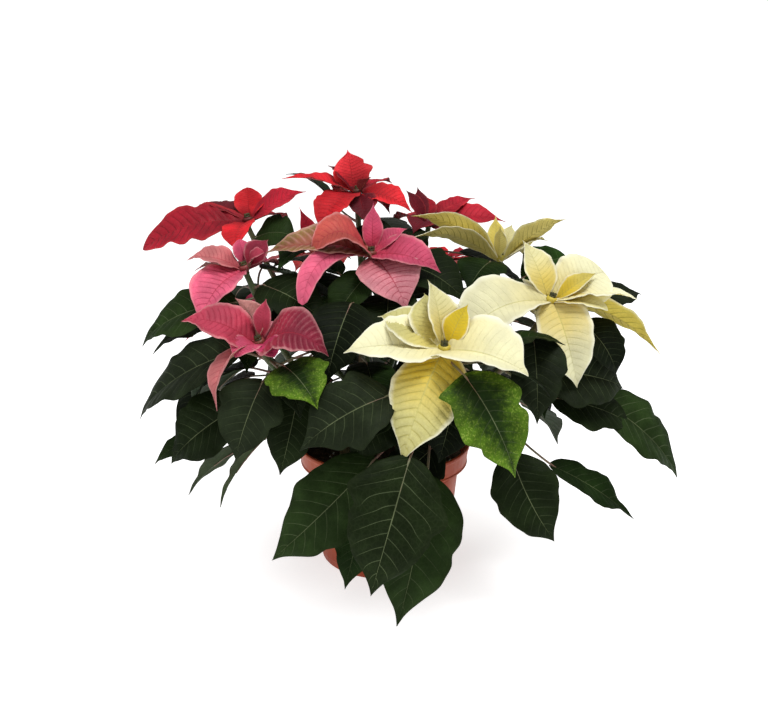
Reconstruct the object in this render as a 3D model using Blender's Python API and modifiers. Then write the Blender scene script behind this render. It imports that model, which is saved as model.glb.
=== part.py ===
"""A poinsettia in its pot: three plants, red, pink and cream, grown together. Metres, +Z up.

The origin is the middle of the pot's foot. Blades (bracts and leaves) are given in millimetres by their
tip, their width, how far their midrib bulges, the angle of their fold and the way their upper face looks.
"""

import itertools
import math
import random

import bmesh
import bpy
import numpy as np
from mathutils import Vector
from mathutils.bvhtree import BVHTree

MM = 0.001
SEED = 8
GAP = 0.3 * MM

# The pot, a 17 cm nursery pot
POT_HEIGHT = 0.120
RIM_RADIUS = 0.085
RIM_DROP = 0.020
NECK_RADIUS = 0.0745
FOOT_RADIUS = 0.063
WALL = 0.0018
FLOOR = 0.003
HOLE_RADIUS = 0.006
HOLE_RING = 0.040
HOLE_COUNT = 6
SOIL_TOP = 0.104
SOIL_CROWN = 0.003
TURN_STEPS = 24

# The woody trunks, by where they stand in the soil
TRUNKS = {"red": (-0.010, 0.036), "pink": (-0.038, -0.022), "cream": (0.037, -0.018)}
TRUNK_RADIUS = 0.0055
TRUNK_DEPTH = 0.030
TRUNK_TOP = 0.150
STUB_TOP = 0.145
STUB_STEP = 0.0075
STUB_ORDER = (1, 2, 0, 3, 4)
STUB_REACH = 0.010
STUB_RADIUS = 0.0034
STEM_RADIUS = 0.0030
NECK_LENGTH = 0.010
STALK_HALF_WIDTH = 0.0013

# A bloom's heart: the green receptacle that carries the bracts, with the small true flowers on top
HEART_RADIUS = 0.0085
HEART_FOOT = 0.006
HEART_BELOW = 0.006
HEART_ABOVE = 0.002
HEART_LOW = -0.0045
HEART_HIGH = 0.0012
BRACT_THICKNESS = 0.0008
LEAF_THICKNESS = 0.0010
CUP_RING = 0.0045
CUP_INSET = 0.0006
CUP_HEIGHT = 0.0042
CUP_SEAT = 0.0008

# Outline of a blade: where it is widest, and how full it is towards its base
FORMS = {
    "bract": (0.42, 1.1), "leaf": (0.36, 0.62), "round": (0.52, 0.72), "slim": (0.45, 1.0), "heart": (0.36, 0.5),
    "spoon": (0.64, 0.9), "ribbon": (0.5, 0.34),
}
ROWS = {2: (0, 0.42, 1), 3: (0, 0.3, 0.65, 1), 4: (0, 0.2, 0.46, 0.76, 1), 5: (0, 0.14, 0.36, 0.58, 0.8, 1)}

COLOURS = {
    "pot": (0.50, 0.17, 0.11),
    "soil": (0.05, 0.035, 0.025),
    "trunk": (0.23, 0.16, 0.10),
    "stem": (0.035, 0.085, 0.03),
    "cyathia": (0.55, 0.55, 0.08),
    "red": (0.60, 0.02, 0.03),
    "pink": (0.75, 0.17, 0.25),
    "cream": (0.86, 0.82, 0.52),
}


def bract(tip, width, rise=6, fold=8, face=(0, 0, 1), sway=0, form="bract"):
    rows = 4 if width > 30 else 3 if width > 24 else 2
    return dict(tip=tip, width=width, rise=rise, fold=fold, face=face, sway=sway, form=form, rows=rows)


# Hearts (mm), the trunk each stem grows from, and the bracts of each bloom, tips measured from the heart
BLOOMS = {
    "red_1": dict(
        heart=(-137, 70, 330),
        lean=(-2, 0, 10),
        bracts=[
            bract((-104, -15, -29), 54, 13, 4, (-2, -7, 10), form="round"),
            bract((-2, 18, 29), 30, 0, 8, (0, -6, 4), form="round"),
            bract((59, 4, 27), 36, 5, 6, (0, -5, 10)),
            bract((-6, -52, -21), 34, 7, 6, (-2, -4, 10), form="round"),
            bract((-62, 42, 6), 34, 8, 8, (-3, 2, 10)),
            bract((-18, 66, -16), 38, 10, 8, (0, 4, 10)),
            bract((38, 52, -12), 34, 8, 8, (3, 3, 10)),
            bract((20, 16, 16), 18, 3, 16, (-4, -4, 10)),
        ],
    ),
    "red_2": dict(
        heart=(-27, 90, 356),
        lean=(0, 1, 10),
        bracts=[
            bract((-10, 14, 40), 40, 2, 6, (2, -10, 4)),
            bract((36, 40, 5), 30, 5, 8, (2, 2, 10)),
            bract((-30, 16, 24), 28, 3, 14, (4, -3, 6)),
            bract((-76, -5, 13), 36, 5, 6, (0, -2, 10)),
            bract((-35, -50, -30), 42, 9, 6, (-2, -6, 10), form="round"),
            bract((56, -20, -20), 36, 7, 8, (1, -5, 10)),
            bract((9, -44, -29), 34, 6, 8, (0, -7, 10)),
            bract((-22, 66, -16), 38, 9, 8, (-1, 4, 10)),
            bract((34, 62, -30), 38, 9, 8, (1, 4, 10)),
            bract((14, -14, 14), 18, 2, 18, (-4, 4, 10)),
        ],
    ),
    "red_3": dict(
        heart=(47, 120, 322),
        lean=(1, 1, 10),
        bracts=[
            bract((-23, 6, 31), 18, 2, 12, (4, -6, 4), form="slim"),
            bract((-11, 20, 33), 18, 0, 12, (2, -6, 4), form="slim"),
            bract((-1, 24, 23), 22, 3, 12, (0, -6, 8)),
            bract((51, 22, 22), 30, 5, 8, (0, -4, 10)),
            bract((82, -5, -1), 38, 8, 6, (0, -5, 10)),
            bract((62, 38, 8), 30, 6, 8, (0, 1, 10)),
            bract((-18, -45, -8), 34, 6, 8, (0, -5, 10)),
            bract((32, -24, -14), 32, 6, 8, (0, -5, 10)),
            bract((24, 64, -14), 38, 9, 8, (0, 4, 10)),
            bract((-38, 50, -10), 36, 8, 8, (-2, 3, 10)),
        ],
    ),
    "red_4": dict(
        heart=(62, 200, 262),
        lean=(2, 5, 10),
        bracts=[
            bract((30, 62, -24), 46, 11, 8, (1, 5, 10)),
            bract((-32, 64, -22), 44, 10, 8, (-1, 5, 10)),
            bract((72, 18, -8), 42, 9, 6, (2, 2, 10)),
            bract((-66, 20, -2), 40, 8, 6, (-2, 2, 10)),
            bract((40, -18, 12), 30, 6, 8, (2, -2, 10)),
            bract((-32, -16, 14), 30, 6, 8, (-2, -2, 10)),
            bract((2, 40, 14), 28, 4, 14, (0, -4, 10)),
            bract((-24, 8, 12), 22, 3, 16, (4, 2, 10)),
            bract((24, 6, 12), 22, 1, 10, (-4, 2, 10)),
        ],
    ),
    "red_5": dict(
        heart=(-72, 198, 268),
        lean=(-2, 5, 10),
        bracts=[
            bract((-24, -6, 60), 24, 3, 10, (0, -6, 4)),
            bract((-38, 60, -26), 46, 11, 8, (-1, 5, 10)),
            bract((22, 66, -22), 44, 10, 8, (1, 5, 10)),
            bract((-74, 10, -10), 42, 9, 6, (-2, 2, 10)),
            bract((62, 26, 2), 40, 8, 6, (2, 2, 10)),
            bract((36, -40, 8), 34, 6, 8, (2, -2, 10)),
            bract((-40, -42, 4), 34, 6, 8, (-2, -2, 10)),
            bract((-4, 36, 30), 26, 4, 14, (0, -4, 10)),
            bract((24, 4, 24), 22, 3, 16, (-4, 2, 10)),
        ],
    ),
    "pink_1": dict(
        heart=(-130, -10, 295),
        lean=(-3, -1, 10),
        bracts=[
            bract((-53, -5, 8), 34, 6, 14, (0, -4, 10)),
            bract((-50, 14, -6), 28, 5, 8, (0, 2, 10)),
            bract((-36, -45, -49), 56, 13, 14, (-5, -10, 7)),
            bract((-6, 14, 23), 20, 0, 10, (3, -8, 3), form="round"),
            bract((20, -8, 14), 20, 3, 18, (-4, -4, 8), form="round"),
            bract((21, 16, 23), 26, 3, 10, (-1, -8, 6)),
            bract((-22, 50, -14), 40, 8, 8, (0, 3, 10)),
            bract((34, 38, -10), 34, 7, 8, (2, 3, 10)),
        ],
    ),
    "pink_2": dict(
        heart=(-12, 0, 307),
        lean=(0, -1, 10),
        bracts=[
            bract((-98, -15, 2), 46, 9, 16, (0, -5, 10), form="leaf"),
            bract((-60, -22, -5), 50, 27, 10, (-1, -5, 10), form="leaf"),
            bract((-60, -62, -38), 26, 17, 3, (-3, -8, 7), sway=14, form="ribbon"),
            bract((2, 12, 44), 21, 3, 10, (0, -10, 2)),
            bract((65, -20, -16), 46, 8, 16, (2, -6, 10), form="leaf"),
            bract((34, 15, 20), 20, 4, 14, (0, -5, 8)),
            bract((34, -48, -48), 62, 9, 4, (2, -10, 9)),
            bract((-10, 52, -6), 44, 9, 8, (0, 3, 10)),
            bract((52, 36, -8), 38, 8, 8, (2, 3, 10)),
        ],
    ),
    "pink_3": dict(
        heart=(-108, -90, 244),
        lean=(-3, -3, 10),
        bracts=[
            bract((-65, -5, 20), 48, 10, 6, (0, -6, 10), form="leaf"),
            bract((-21, 20, 34), 34, 5, 8, (2, 8, 6)),
            bract((6, 12, 34), 18, 2, 14, (-2, -8, 4), form="slim"),
            bract((62, -15, -10), 56, 20, 6, (0, -6, 10), form="leaf"),
            bract((17, -30, -6), 28, 5, 8, (1, -8, 8), form="round"),
            bract((-16, -30, -6), 28, 5, 8, (-1, -8, 8), form="round"),
            bract((-31, -45, -49), 30, 16, 14, (-8, -6, 4)),
            bract((-40, 42, -2), 38, 8, 8, (-2, 3, 10)),
            bract((30, 40, 2), 36, 7, 8, (1, 2, 10)),
        ],
    ),
    "pink_4": dict(
        heart=(-156, 132, 214),
        lean=(-5, 4, 10),
        bracts=[
            bract((-64, 26, -30), 44, 11, 6, (-4, 1, 10)),
            bract((-30, 62, -26), 42, 10, 6, (-2, 4, 10)),
            bract((-58, -34, -18), 40, 9, 6, (-4, -3, 10)),
            bract((34, 54, -6), 38, 8, 8, (1, 3, 10)),
            bract((-6, -56, -4), 36, 8, 8, (-1, -3, 10)),
            bract((-26, 14, 28), 24, 1, 10, (4, -2, 10)),
            bract((10, 28, 26), 24, 3, 14, (-1, -4, 10)),
        ],
    ),
    "cream_1": dict(
        heart=(50, -120, 247),
        lean=(0, -3, 10),
        bracts=[
            bract((-84, -5, -3), 60, 5, 14, (0, -5, 10), form="leaf"),
            bract((-56, 25, 21), 50, 7, 6, (-1, -5, 10)),
            bract((-16, 32, 39), 48, 6, 6, (0, -8, 6)),
            bract((-13, 20, 52), 36, 4, 26, (7, -10, 3)),
            bract((20, 10, 34), 24, 3, 10, (-4, -10, 3)),
            bract((66, -34, -15), 68, 8, 24, (1, -6, 10), form="heart"),
            bract((-36, -45, -85), 62, 16, -5, (-1, -10, 7), form="heart"),
            bract((46, 34, 6), 44, 8, 8, (1, 1, 10)),
        ],
    ),
    "cream_2": dict(
        heart=(154, -30, 269),
        lean=(3, -1, 10),
        bracts=[
            bract((-81, -32, -26), 66, 9, 18, (0, -7, 10), sway=6, form="spoon"),
            bract((-25, 25, 50), 34, 4, 12, (3, -10, 5)),
            bract((52, 20, 22), 60, 6, 6, (-3, -14, 8), form="round"),
            bract((42, 5, 23), 22, 3, 24, (0, -6, 8)),
            bract((77, -10, 3), 46, 5, 8, (0, -1, 10)),
            bract((21, -35, -77), 54, 13, 14, (-1, -10, 6), form="leaf"),
            bract((46, -24, -6), 24, 5, 8, (1, -4, 10), form="round"),
            bract((108, 12, -56), 42, 14, 6, (5, 8, 10)),
            bract((-8, 56, -4), 42, 8, 8, (0, 3, 10)),
            bract((52, 50, -6), 42, 9, 8, (2, 3, 10)),
        ],
    ),
    "cream_3": dict(
        heart=(118, 70, 292),
        lean=(1, 1, 10),
        bracts=[
            bract((-91, -10, 42), 34, 14, 6, (-2, 8, 10)),
            bract((-91, -25, 22), 34, 14, 6, (-1, 7, 10)),
            bract((-4, 16, 39), 22, 0, 14, (0, -8, 4)),
            bract((14, 22, 30), 22, 3, 14, (0, -6, 8)),
            bract((65, 0, 39), 38, 5, 4, (0, 8, 10)),
            bract((-2, -10, 31), 16, 0, 14, (4, 6, 4), form="slim"),
            bract((-30, 58, 2), 42, 9, 8, (-1, 3, 10)),
            bract((34, 60, -8), 42, 9, 8, (1, 3, 10)),
            bract((56, 40, 10), 36, 8, 8, (2, 2, 10)),
        ],
    ),
    "cream_4": dict(
        heart=(172, 120, 220),
        lean=(5, 3, 10),
        bracts=[
            bract((70, 20, -30), 44, 11, 6, (4, 1, 10)),
            bract((40, 62, -24), 44, 10, 6, (3, 4, 10)),
            bract((58, -40, -18), 40, 9, 6, (4, -3, 10)),
            bract((-26, 62, -6), 40, 9, 8, (0, 4, 10)),
            bract((12, -52, 4), 34, 7, 8, (1, -3, 10)),
            bract((28, 10, 28), 24, 3, 14, (-4, -1, 10)),
            bract((-8, 30, 28), 24, 3, 14, (1, -4, 10)),
        ],
    ),
}


def leaf(base, tip, width, rise=8, fold=8, face=(0, -3, 10), sway=0, at=0.6, lobe=0, form="leaf"):
    return dict(
        base=base, tip=tip, width=width, rise=rise, fold=fold, face=face, sway=sway, at=at, lobe=lobe, form=form,
        rows=5 if width > 40 else 4,
    )


# Leaves that show most, by base and tip in millimetres from the origin, and where on the stem they grow
LEAVES = {
    "pink_3": [
        leaf((-129, -75, 230), (-229, -50, 160), 66, 12, 6, (-4, -5, 10), at=0.85),
        leaf((-125, -85, 184), (-194, -85, 128), 60, 9, 6, (-4, -10, 8), at=0.6, lobe=0.18),
        leaf((-103, -112, 213), (-125, -138, 151), 56, 8, 6, (-1, -10, 6), at=0.75),
        leaf((-74, -108, 198), (-89, -128, 134), 44, 7, 8, (2, -10, 4), at=0.5),
        leaf((-109, -85, 151), (-179, -85, 99), 34, 8, 10, (0, 6, 10), at=0.35, lobe=0.2),
        leaf((-98, -95, 164), (-147, -108, 97), 30, 5, 10, (-10, 3, 5), at=0.45),
        leaf((-168, -60, 146), (-214, -60, 118), 24, 5, 8, (-2, -6, 10), at=0.5),
        leaf((-84, -108, 226), (-53, -150, 203), 54, 6, 3, (2, -8, 10), at=0.85),
    ],
    "pink_1": [
        leaf((-140, -20, 262), (-233, -12, 220), 64, 12, 6, (-2, -5, 10), at=0.85),
        leaf((-138, 10, 248), (-229, 12, 206), 44, 8, 8, (-2, -4, 10), at=0.7),
        leaf((-111, -20, 279), (-51, -52, 250), 58, 6, 6, (2, -7, 10), at=0.9),
        leaf((-92, -20, 262), (-56, -48, 214), 50, 8, 6, (0, -9, 8), at=0.7),
        leaf((-116, 10, 290), (-76, 30, 262), 46, 6, 6, (2, 2, 10), at=0.8),
    ],
    "red_1": [
        leaf((-128, 62, 312), (-88, 50, 315), 48, 6, 6, (1, -8, 10), at=0.9, form="round"),
    ],
    "red_2": [
        leaf((-52, 116, 340), (-103, 122, 371), 40, 8, 6, (0, 0, 10), at=0.88),
        leaf((-20, 74, 322), (-2, 62, 289), 44, 7, 6, (0, -10, 8), at=0.8),
        leaf((14, 98, 310), (40, 34, 288), 44, 7, 6, (1, -9, 8), at=0.7),
    ],
    "pink_2": [
        leaf((14, 15, 292), (78, -22, 262), 66, 11, 6, (3, -7, 10), at=0.9),
        leaf((-16, -28, 290), (-49, -62, 246), 40, 7, 20, (-2, -9, 8), at=0.8),
        leaf((-30, -56, 268), (-50, -104, 208), 58, 9, 6, (-1, -10, 8), at=0.7),
        leaf((4, -16, 268), (2, -72, 234), 52, 8, 6, (0, -9, 8), at=0.75),
    ],
    "cream_3": [
        leaf((106, 52, 289), (80, 12, 266), 48, 6, 6, (-1, -6, 10), at=0.88),
        leaf((146, 90, 266), (197, 114, 283), 50, 8, 6, (0, -6, 10), at=0.85, form="round"),
    ],
    "cream_2": [
        leaf((196, 5, 253), (255, 20, 265), 46, 7, 6, (0, -5, 10), at=0.92),
        leaf((184, -25, 244), (215, -48, 198), 50, 8, 6, (4, -8, 10), at=0.85),
        leaf((148, -62, 208), (229, -46, 187), 66, 10, 6, (0, -10, 8), at=0.7),
        leaf((159, -40, 176), (240, -26, 143), 52, 8, 6, (0, -9, 10), at=0.55),
        leaf((205, -20, 168), (290, -20, 87), 62, 11, 8, (5, -8, 10), at=0.65, lobe=0.14),
        leaf((133, -60, 239), (133, -100, 171), 52, 8, 8, (0, -10, 7), at=0.8),
        leaf((157, -60, 116), (237, -60, 62), 36, 5, 10, (-1, -4, 10), at=0.35, lobe=0.3),
        leaf((113, -100, 140), (151, -122, 69), 60, 9, 6, (2, -10, 6), sway=7, at=0.45),
    ],
    "cream_1": [
        leaf((66, -152, 229), (106, -176, 152), 62, 11, 6, (2, -10, 8), at=0.92),
        leaf((3, -148, 212), (-70, -165, 170), 66, 10, 6, (-2, -9, 10), at=0.85, lobe=0.12),
        leaf((-10, -130, 148), (-98, -145, 63), 66, 10, 6, (-2, -10, 7), sway=-5, at=0.4),
        leaf((20, -166, 163), (-11, -198, 59), 76, 10, 4, (0, -10, 6), at=0.6),
        leaf((36, -140, 136), (11, -176, 18), 72, 8, 4, (3, -10, 5), at=0.35),
        leaf((-16, -120, 104), (-34, -142, 34), 38, 6, 8, (0, -10, 5), at=0.2),
        leaf((73, -112, 190), (90, -128, 153), 32, 5, 8, (1, -8, 8), at=0.65),
        leaf((62, -118, 208), (46, -134, 148), 50, 7, 6, (0, -10, 6), at=0.7),
        leaf((8, -112, 196), (-28, -124, 146), 50, 7, 6, (-1, -10, 6), at=0.55),
        leaf((46, -108, 156), (0, -122, 114), 48, 6, 6, (-1, -10, 5), at=0.45),
    ],
}

# The leaves that fill the sides, the back and the inside: how many on each stem, and the way they spread
FILL_LEAVES = dict(
    red_1=8, red_2=7, red_3=7, red_4=6, red_5=5, pink_1=6, pink_2=7, pink_3=4, pink_4=6,
    cream_1=6, cream_2=6, cream_3=7, cream_4=4,
)
GOLDEN_ANGLE = 2.39996
FILL_LENGTH = 0.088
FILL_RATIO = 0.62
PETIOLE_LENGTH = 0.042

CROWN_X = 0.015
CROWN_Y = 0.03
CROWN_REACH = 0.235
CROWN_SLOPE = 0.45
CROWN_FRONT_LOW = 0.165
CROWN_BACK_LOW = 0.05

# What a leaf tries, in turn, until it is clear of its neighbours
CLEARANCE = 0.0009
SLIPS = (0, -0.005, 0.005, -0.010, 0.010, -0.015, 0.015, -0.022, 0.022, -0.03, 0.03)
SLIP_AXIS = Vector((0, 0.963, -0.269))
ROOT_SHIFTS = (0, -0.08, 0.08, -0.16, -0.24, -0.32)
FILL_SIZES = (1, 0.85, 0.72, 0.6)
FILL_TURNS = (0, 0.25, -0.25, 0.5, -0.5, 0.8, -0.8, 1.2, -1.2)
FILL_DIPS = (0, -0.2, 0.2, -0.4, -0.65)

# A union's seams: faces that are flat to this angle are joined, and slivers are welded by the first of
# these distances that leaves the body closed
FLAT = math.radians(0.2)
SLIVERS = (0.0005, 0.0004, 0.0003, 0.0002, 0.0001)


def material(name, colour, roughness=0.6):
    made = bpy.data.materials.new(name)
    made.use_nodes = True
    shader = made.node_tree.nodes["Principled BSDF"]
    shader.inputs["Base Color"].default_value = (*colour, 1)
    shader.inputs["Roughness"].default_value = roughness
    shader.inputs["Metallic"].default_value = 0
    return made


def add_object(name, mesh, collection):
    obj = bpy.data.objects.new(name, mesh)
    collection.objects.link(obj)
    return obj


def mesh_from(bm, name):
    mesh = bpy.data.meshes.new(name)
    bm.to_mesh(mesh)
    bm.free()
    return mesh


def evaluated_copy(obj, name, collection):
    """A plain mesh object of what the modifiers or the curve make, with obj removed."""
    bpy.context.view_layer.update()
    graph = bpy.context.evaluated_depsgraph_get()
    mesh = bpy.data.meshes.new_from_object(obj.evaluated_get(graph))
    place = obj.matrix_world.copy()
    bpy.data.objects.remove(obj)
    made = add_object(name, mesh, collection)
    made.matrix_world = place
    return made


def weld(mesh, distance=1e-6):
    bm = bmesh.new()
    bm.from_mesh(mesh)
    bmesh.ops.remove_doubles(bm, verts=bm.verts, dist=distance)
    bm.to_mesh(mesh)
    bm.free()


def tube(name, points, radius, collection, resolution=0):
    """A tube through points, as a closed mesh: 4 sides at resolution 0, 8 at 2."""
    data = bpy.data.curves.new(name, "CURVE")
    data.dimensions = "3D"
    data.bevel_depth = radius
    data.bevel_resolution = resolution
    data.use_fill_caps = True
    spline = data.splines.new("POLY")
    spline.points.add(len(points) - 1)
    for point, place in zip(spline.points, points):
        point.co = (*place, 1)
    made = evaluated_copy(add_object(name, data, collection), name, collection)
    weld(made.data)
    return made


def fuse(name, first, others, collection):
    """first and all of others as one body, by one union on their collection."""
    group = bpy.data.collections.new(name + "_repeats")
    bpy.context.scene.collection.children.link(group)
    for obj in others:
        collection.objects.unlink(obj)
        group.objects.link(obj)
    union = first.modifiers.new("Union", "BOOLEAN")
    union.operation = "UNION"
    union.operand_type = "COLLECTION"
    union.collection = group
    union.solver = "MANIFOLD"
    made = evaluated_copy(first, name, collection)
    for obj in list(group.objects):
        bpy.data.objects.remove(obj)
    bpy.data.collections.remove(group)
    keep_largest(made.data)
    weld_slivers(made.data)
    return made


def keep_largest(mesh):
    """Drops the scraps that a union leaves loose."""
    bm = bmesh.new()
    bm.from_mesh(mesh)
    left = set(bm.verts)
    pieces = []
    while left:
        piece = {left.pop()}
        edge = list(piece)
        while edge:
            found = {e.other_vert(v) for v in edge for e in v.link_edges} - piece
            piece |= found
            edge = list(found)
        left -= piece
        pieces.append(piece)
    pieces.sort(key=len, reverse=True)
    for piece in pieces[1:]:
        bmesh.ops.delete(bm, geom=list(piece), context="VERTS")
    bmesh.ops.dissolve_limit(bm, angle_limit=FLAT, verts=bm.verts, edges=bm.edges)
    bmesh.ops.triangulate(bm, faces=bm.faces)
    bm.to_mesh(mesh)
    bm.free()


def weld_slivers(mesh):
    """Welds the slivers along a union's seams, by the widest of a few distances that leaves the body closed."""
    for distance in SLIVERS:
        bm = bmesh.new()
        bm.from_mesh(mesh)
        bmesh.ops.remove_doubles(bm, verts=bm.verts, dist=distance)
        closed = all(len(e.link_faces) == 2 for e in bm.edges) and all(v.is_manifold for v in bm.verts)
        if closed:
            bm.to_mesh(mesh)
        bm.free()
        if closed:
            return


def bezier(start, control, end, s):
    return (1 - s) ** 2 * start + 2 * s * (1 - s) * control + s * s * end


def make_blade(base, row, thickness):
    """A blade's frame: its midrib from base to tip, its side and its upper face."""
    tip = row["tip"]
    chord = (tip - base).normalized()
    face = Vector(row["face"])
    normal = (face - chord * face.dot(chord)).normalized()
    side = chord.cross(normal)
    bulge = 2 * MM * (normal * row["rise"] + side * row["sway"])
    return dict(
        base=base,
        tip=tip,
        control=(base + tip) / 2 + bulge,
        side=side,
        half=row["width"] * MM / 2,
        fold=math.radians(row["fold"]),
        form=row["form"],
        lobe=row.get("lobe", 0),
        rows=ROWS[row["rows"]],
        thickness=thickness,
    )


def half_width(blade, s):
    peak, fullness = FORMS[blade["form"]]
    if s >= 1:
        return 0.0
    taper = fullness * (1 - peak) / peak
    wide = blade["half"] * (s / peak) ** fullness * ((1 - s) / (1 - peak)) ** taper
    tooth = max(0.0, 1 - abs(s - 0.58) / 0.16) - max(0.0, 1 - abs(s - 0.78) / 0.1)
    return wide * (1 + blade["lobe"] * tooth)


def surface(blade, s, t):
    """The point of the blade's middle layer at s from base to tip and t from edge to edge, and its normal."""
    base, control, tip = blade["base"], blade["control"], blade["tip"]
    along = ((1 - s) * (control - base) + s * (tip - control)).normalized()
    side = (blade["side"] - along * blade["side"].dot(along)).normalized()
    normal = side.cross(along)
    reach = half_width(blade, s)
    spread = side * (t * math.cos(blade["fold"])) + normal * (abs(t) * math.sin(blade["fold"]))
    return bezier(base, control, tip, s) + spread * reach, normal


def blade_points(blade):
    """The blade's rows of three points each, with their normals. Points that coincide are welded later.

    A bract starts in a point inside its heart; a leaf has a stalk, whose root is its first row.
    """
    rows = [[surface(blade, s, t) for t in (-1, 0, 1)] for s in blade["rows"][1:]]
    if "root" not in blade:
        return [[surface(blade, 0, 0)] * 3] + rows
    along = (blade["base"] - blade["root"]).normalized()
    side = (blade["side"] - along * blade["side"].dot(along)).normalized()
    normal = side.cross(along)
    for foot in (blade["base"], blade["root"]):
        rows.insert(0, [(foot + side * (t * STALK_HALF_WIDTH), normal) for t in (-1, -1, 1)])
    return rows


def blade_object(blade, name, collection):
    """A grid of two columns laid on the blade's surface, split into triangles and given its thickness."""
    rows = blade_points(blade)
    bm = bmesh.new()
    bmesh.ops.create_grid(bm, x_segments=2, y_segments=len(rows) - 1, size=1)
    for vert in bm.verts:
        row = round((vert.co.y + 1) / 2 * (len(rows) - 1))
        point, normal = rows[row][round(vert.co.x) + 1]
        vert.co = point - normal * (blade["thickness"] / 2)
    bmesh.ops.remove_doubles(bm, verts=bm.verts, dist=1e-6)
    bmesh.ops.triangulate(bm, faces=bm.faces)
    bmesh.ops.recalc_face_normals(bm, faces=bm.faces)
    bm.normal_update()
    centre, upward = surface(blade, 0.5, 0)
    middle = min(bm.faces, key=lambda f: (f.calc_center_median() - centre).length)
    if middle.normal.dot(upward) > 0:
        bmesh.ops.reverse_faces(bm, faces=bm.faces)
    bmesh.ops.solidify(bm, geom=bm.faces[:], thickness=blade["thickness"])
    bmesh.ops.recalc_face_normals(bm, faces=bm.faces)
    return add_object(name, mesh_from(bm, name), collection)


def hull_of(blade):
    """A closed shell a little thicker than the blade, to test what it would touch."""
    reach = blade["thickness"] / 2 + CLEARANCE
    rows = blade_points(blade)
    layer = 3 * len(rows)
    points = [point + normal * side for side in (reach, -reach) for row in rows for point, normal in row]
    faces = []
    for i in range(len(rows) - 1):
        for j in range(2):
            a = 3 * i + j
            faces += [(a, a + 1, a + 4), (a, a + 4, a + 3)]
            faces += [(a + layer, a + 1 + layer, a + 4 + layer), (a + layer, a + 4 + layer, a + 3 + layer)]
        for a in (3 * i, 3 * i + 2):
            faces.append((a, a + 3, a + 3 + layer, a + layer))
    return points, faces


def hull_of_tube(points, radius):
    """Three flat strips round a tube's middle line, to test what it would touch."""
    reach = radius + CLEARANCE
    verts, faces = [], []
    for turn in range(3):
        angle = turn * math.pi / 3
        across = Vector((math.cos(angle), math.sin(angle), 0.3)) * reach
        start = len(verts)
        for point in points:
            verts += [point - across, point + across]
        for i in range(start, start + 2 * len(points) - 2, 2):
            faces.append((i, i + 1, i + 3, i + 2))
    return verts, faces


class Placed:
    """The shapes placed so far, each as a search tree with its box and the node that it belongs to."""

    def __init__(self):
        self.shapes = []

    def add(self, node, hull):
        points = np.array([tuple(p) for p in hull[0]])
        self.shapes.append((node, points.min(0), points.max(0), BVHTree.FromPolygons(*hull)))

    def hits(self, node, hull):
        """The first node other than this one that the hull touches, or None."""
        points = np.array([tuple(p) for p in hull[0]])
        low, high = points.min(0), points.max(0)
        tree = None
        for other, lowest, highest, placed in self.shapes:
            if other == node or (low > highest).any() or (high < lowest).any():
                continue
            tree = tree or BVHTree.FromPolygons(*hull)
            if tree.overlap(placed):
                return other
        return None


def stem_path(bloom):
    """The points of a stem from its stub on the trunk to just below the bloom's heart."""
    plant = bloom["name"].split("_")[0]
    x, y = TRUNKS[plant]
    top = bloom["heart"] - bloom["lean"] * (HEART_BELOW + GAP)
    neck = top - bloom["lean"] * NECK_LENGTH
    out = Vector((neck.x - x, neck.y - y, 0))
    reach = out.length
    out.normalize()
    slope = (out + Vector((0, 0, 1.0))).normalized()
    foot = Vector((x, y, bloom["root"]))
    start = foot + slope * (STUB_REACH + GAP)
    control = foot + out * reach * 0.62 + Vector((0, 0, (neck.z - foot.z) * 0.42))
    near = start + slope * (reach * 0.25)
    points = [start, start + slope * NECK_LENGTH]
    for s in (0.36, 0.7):
        blend = (1 - s) ** 3 * start + 3 * s * (1 - s) ** 2 * near + 3 * s * s * (1 - s) * control + s**3 * neck
        points.append(blend)
    return points + [neck, top], foot, slope


def along_path(points, u):
    lengths = [0]
    for a, b in zip(points, points[1:]):
        lengths.append(lengths[-1] + (b - a).length)
    want = u * lengths[-1]
    for i in range(1, len(points)):
        if lengths[i] >= want:
            part = (want - lengths[i - 1]) / (lengths[i] - lengths[i - 1])
            return points[i - 1].lerp(points[i], part)
    return points[-1]


def bract_blades(bloom, rows):
    """The bracts of a bloom, the steeper ones seated higher on its heart."""
    heart, lean = bloom["heart"], bloom["lean"]
    reaches = [Vector(row["tip"]) * MM for row in rows]
    steep = sorted(range(len(rows)), key=lambda i: reaches[i].normalized().dot(lean))
    blades = []
    for i, row in enumerate(rows):
        out = reaches[i] - lean * reaches[i].dot(lean)
        seat = HEART_LOW + (HEART_HIGH - HEART_LOW) * steep.index(i) / (len(rows) - 1)
        widened = (seat + HEART_BELOW) / (HEART_ABOVE + HEART_BELOW)
        inside = 0.75 * (HEART_FOOT + (HEART_RADIUS - HEART_FOOT) * widened)
        base = heart + out.normalized() * inside + lean * seat
        blades.append(make_blade(base, dict(row, tip=heart + reaches[i]), BRACT_THICKNESS))
    return blades


def leaf_blade(row, slip=0.0):
    shift = SLIP_AXIS * slip
    base = Vector(row["base"]) * MM + shift * 0.7
    return make_blade(base, dict(row, tip=Vector(row["tip"]) * MM + shift), LEAF_THICKNESS)


def fill_place(path, count, chance):
    """Where the count-th filling leaf of a stem is rooted, its heading (round and outwards) and its length."""
    root = along_path(path, 0.9 - 0.11 * count - chance.uniform(0, 0.04))
    outward = math.atan2(path[-1].y - path[0].y, path[-1].x - path[0].x)
    swing = (count * GOLDEN_ANGLE + chance.uniform(-0.3, 0.3) + math.pi) % (2 * math.pi) - math.pi
    return root, outward + 0.75 * swing, FILL_LENGTH * chance.uniform(0.85, 1.15)


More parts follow.
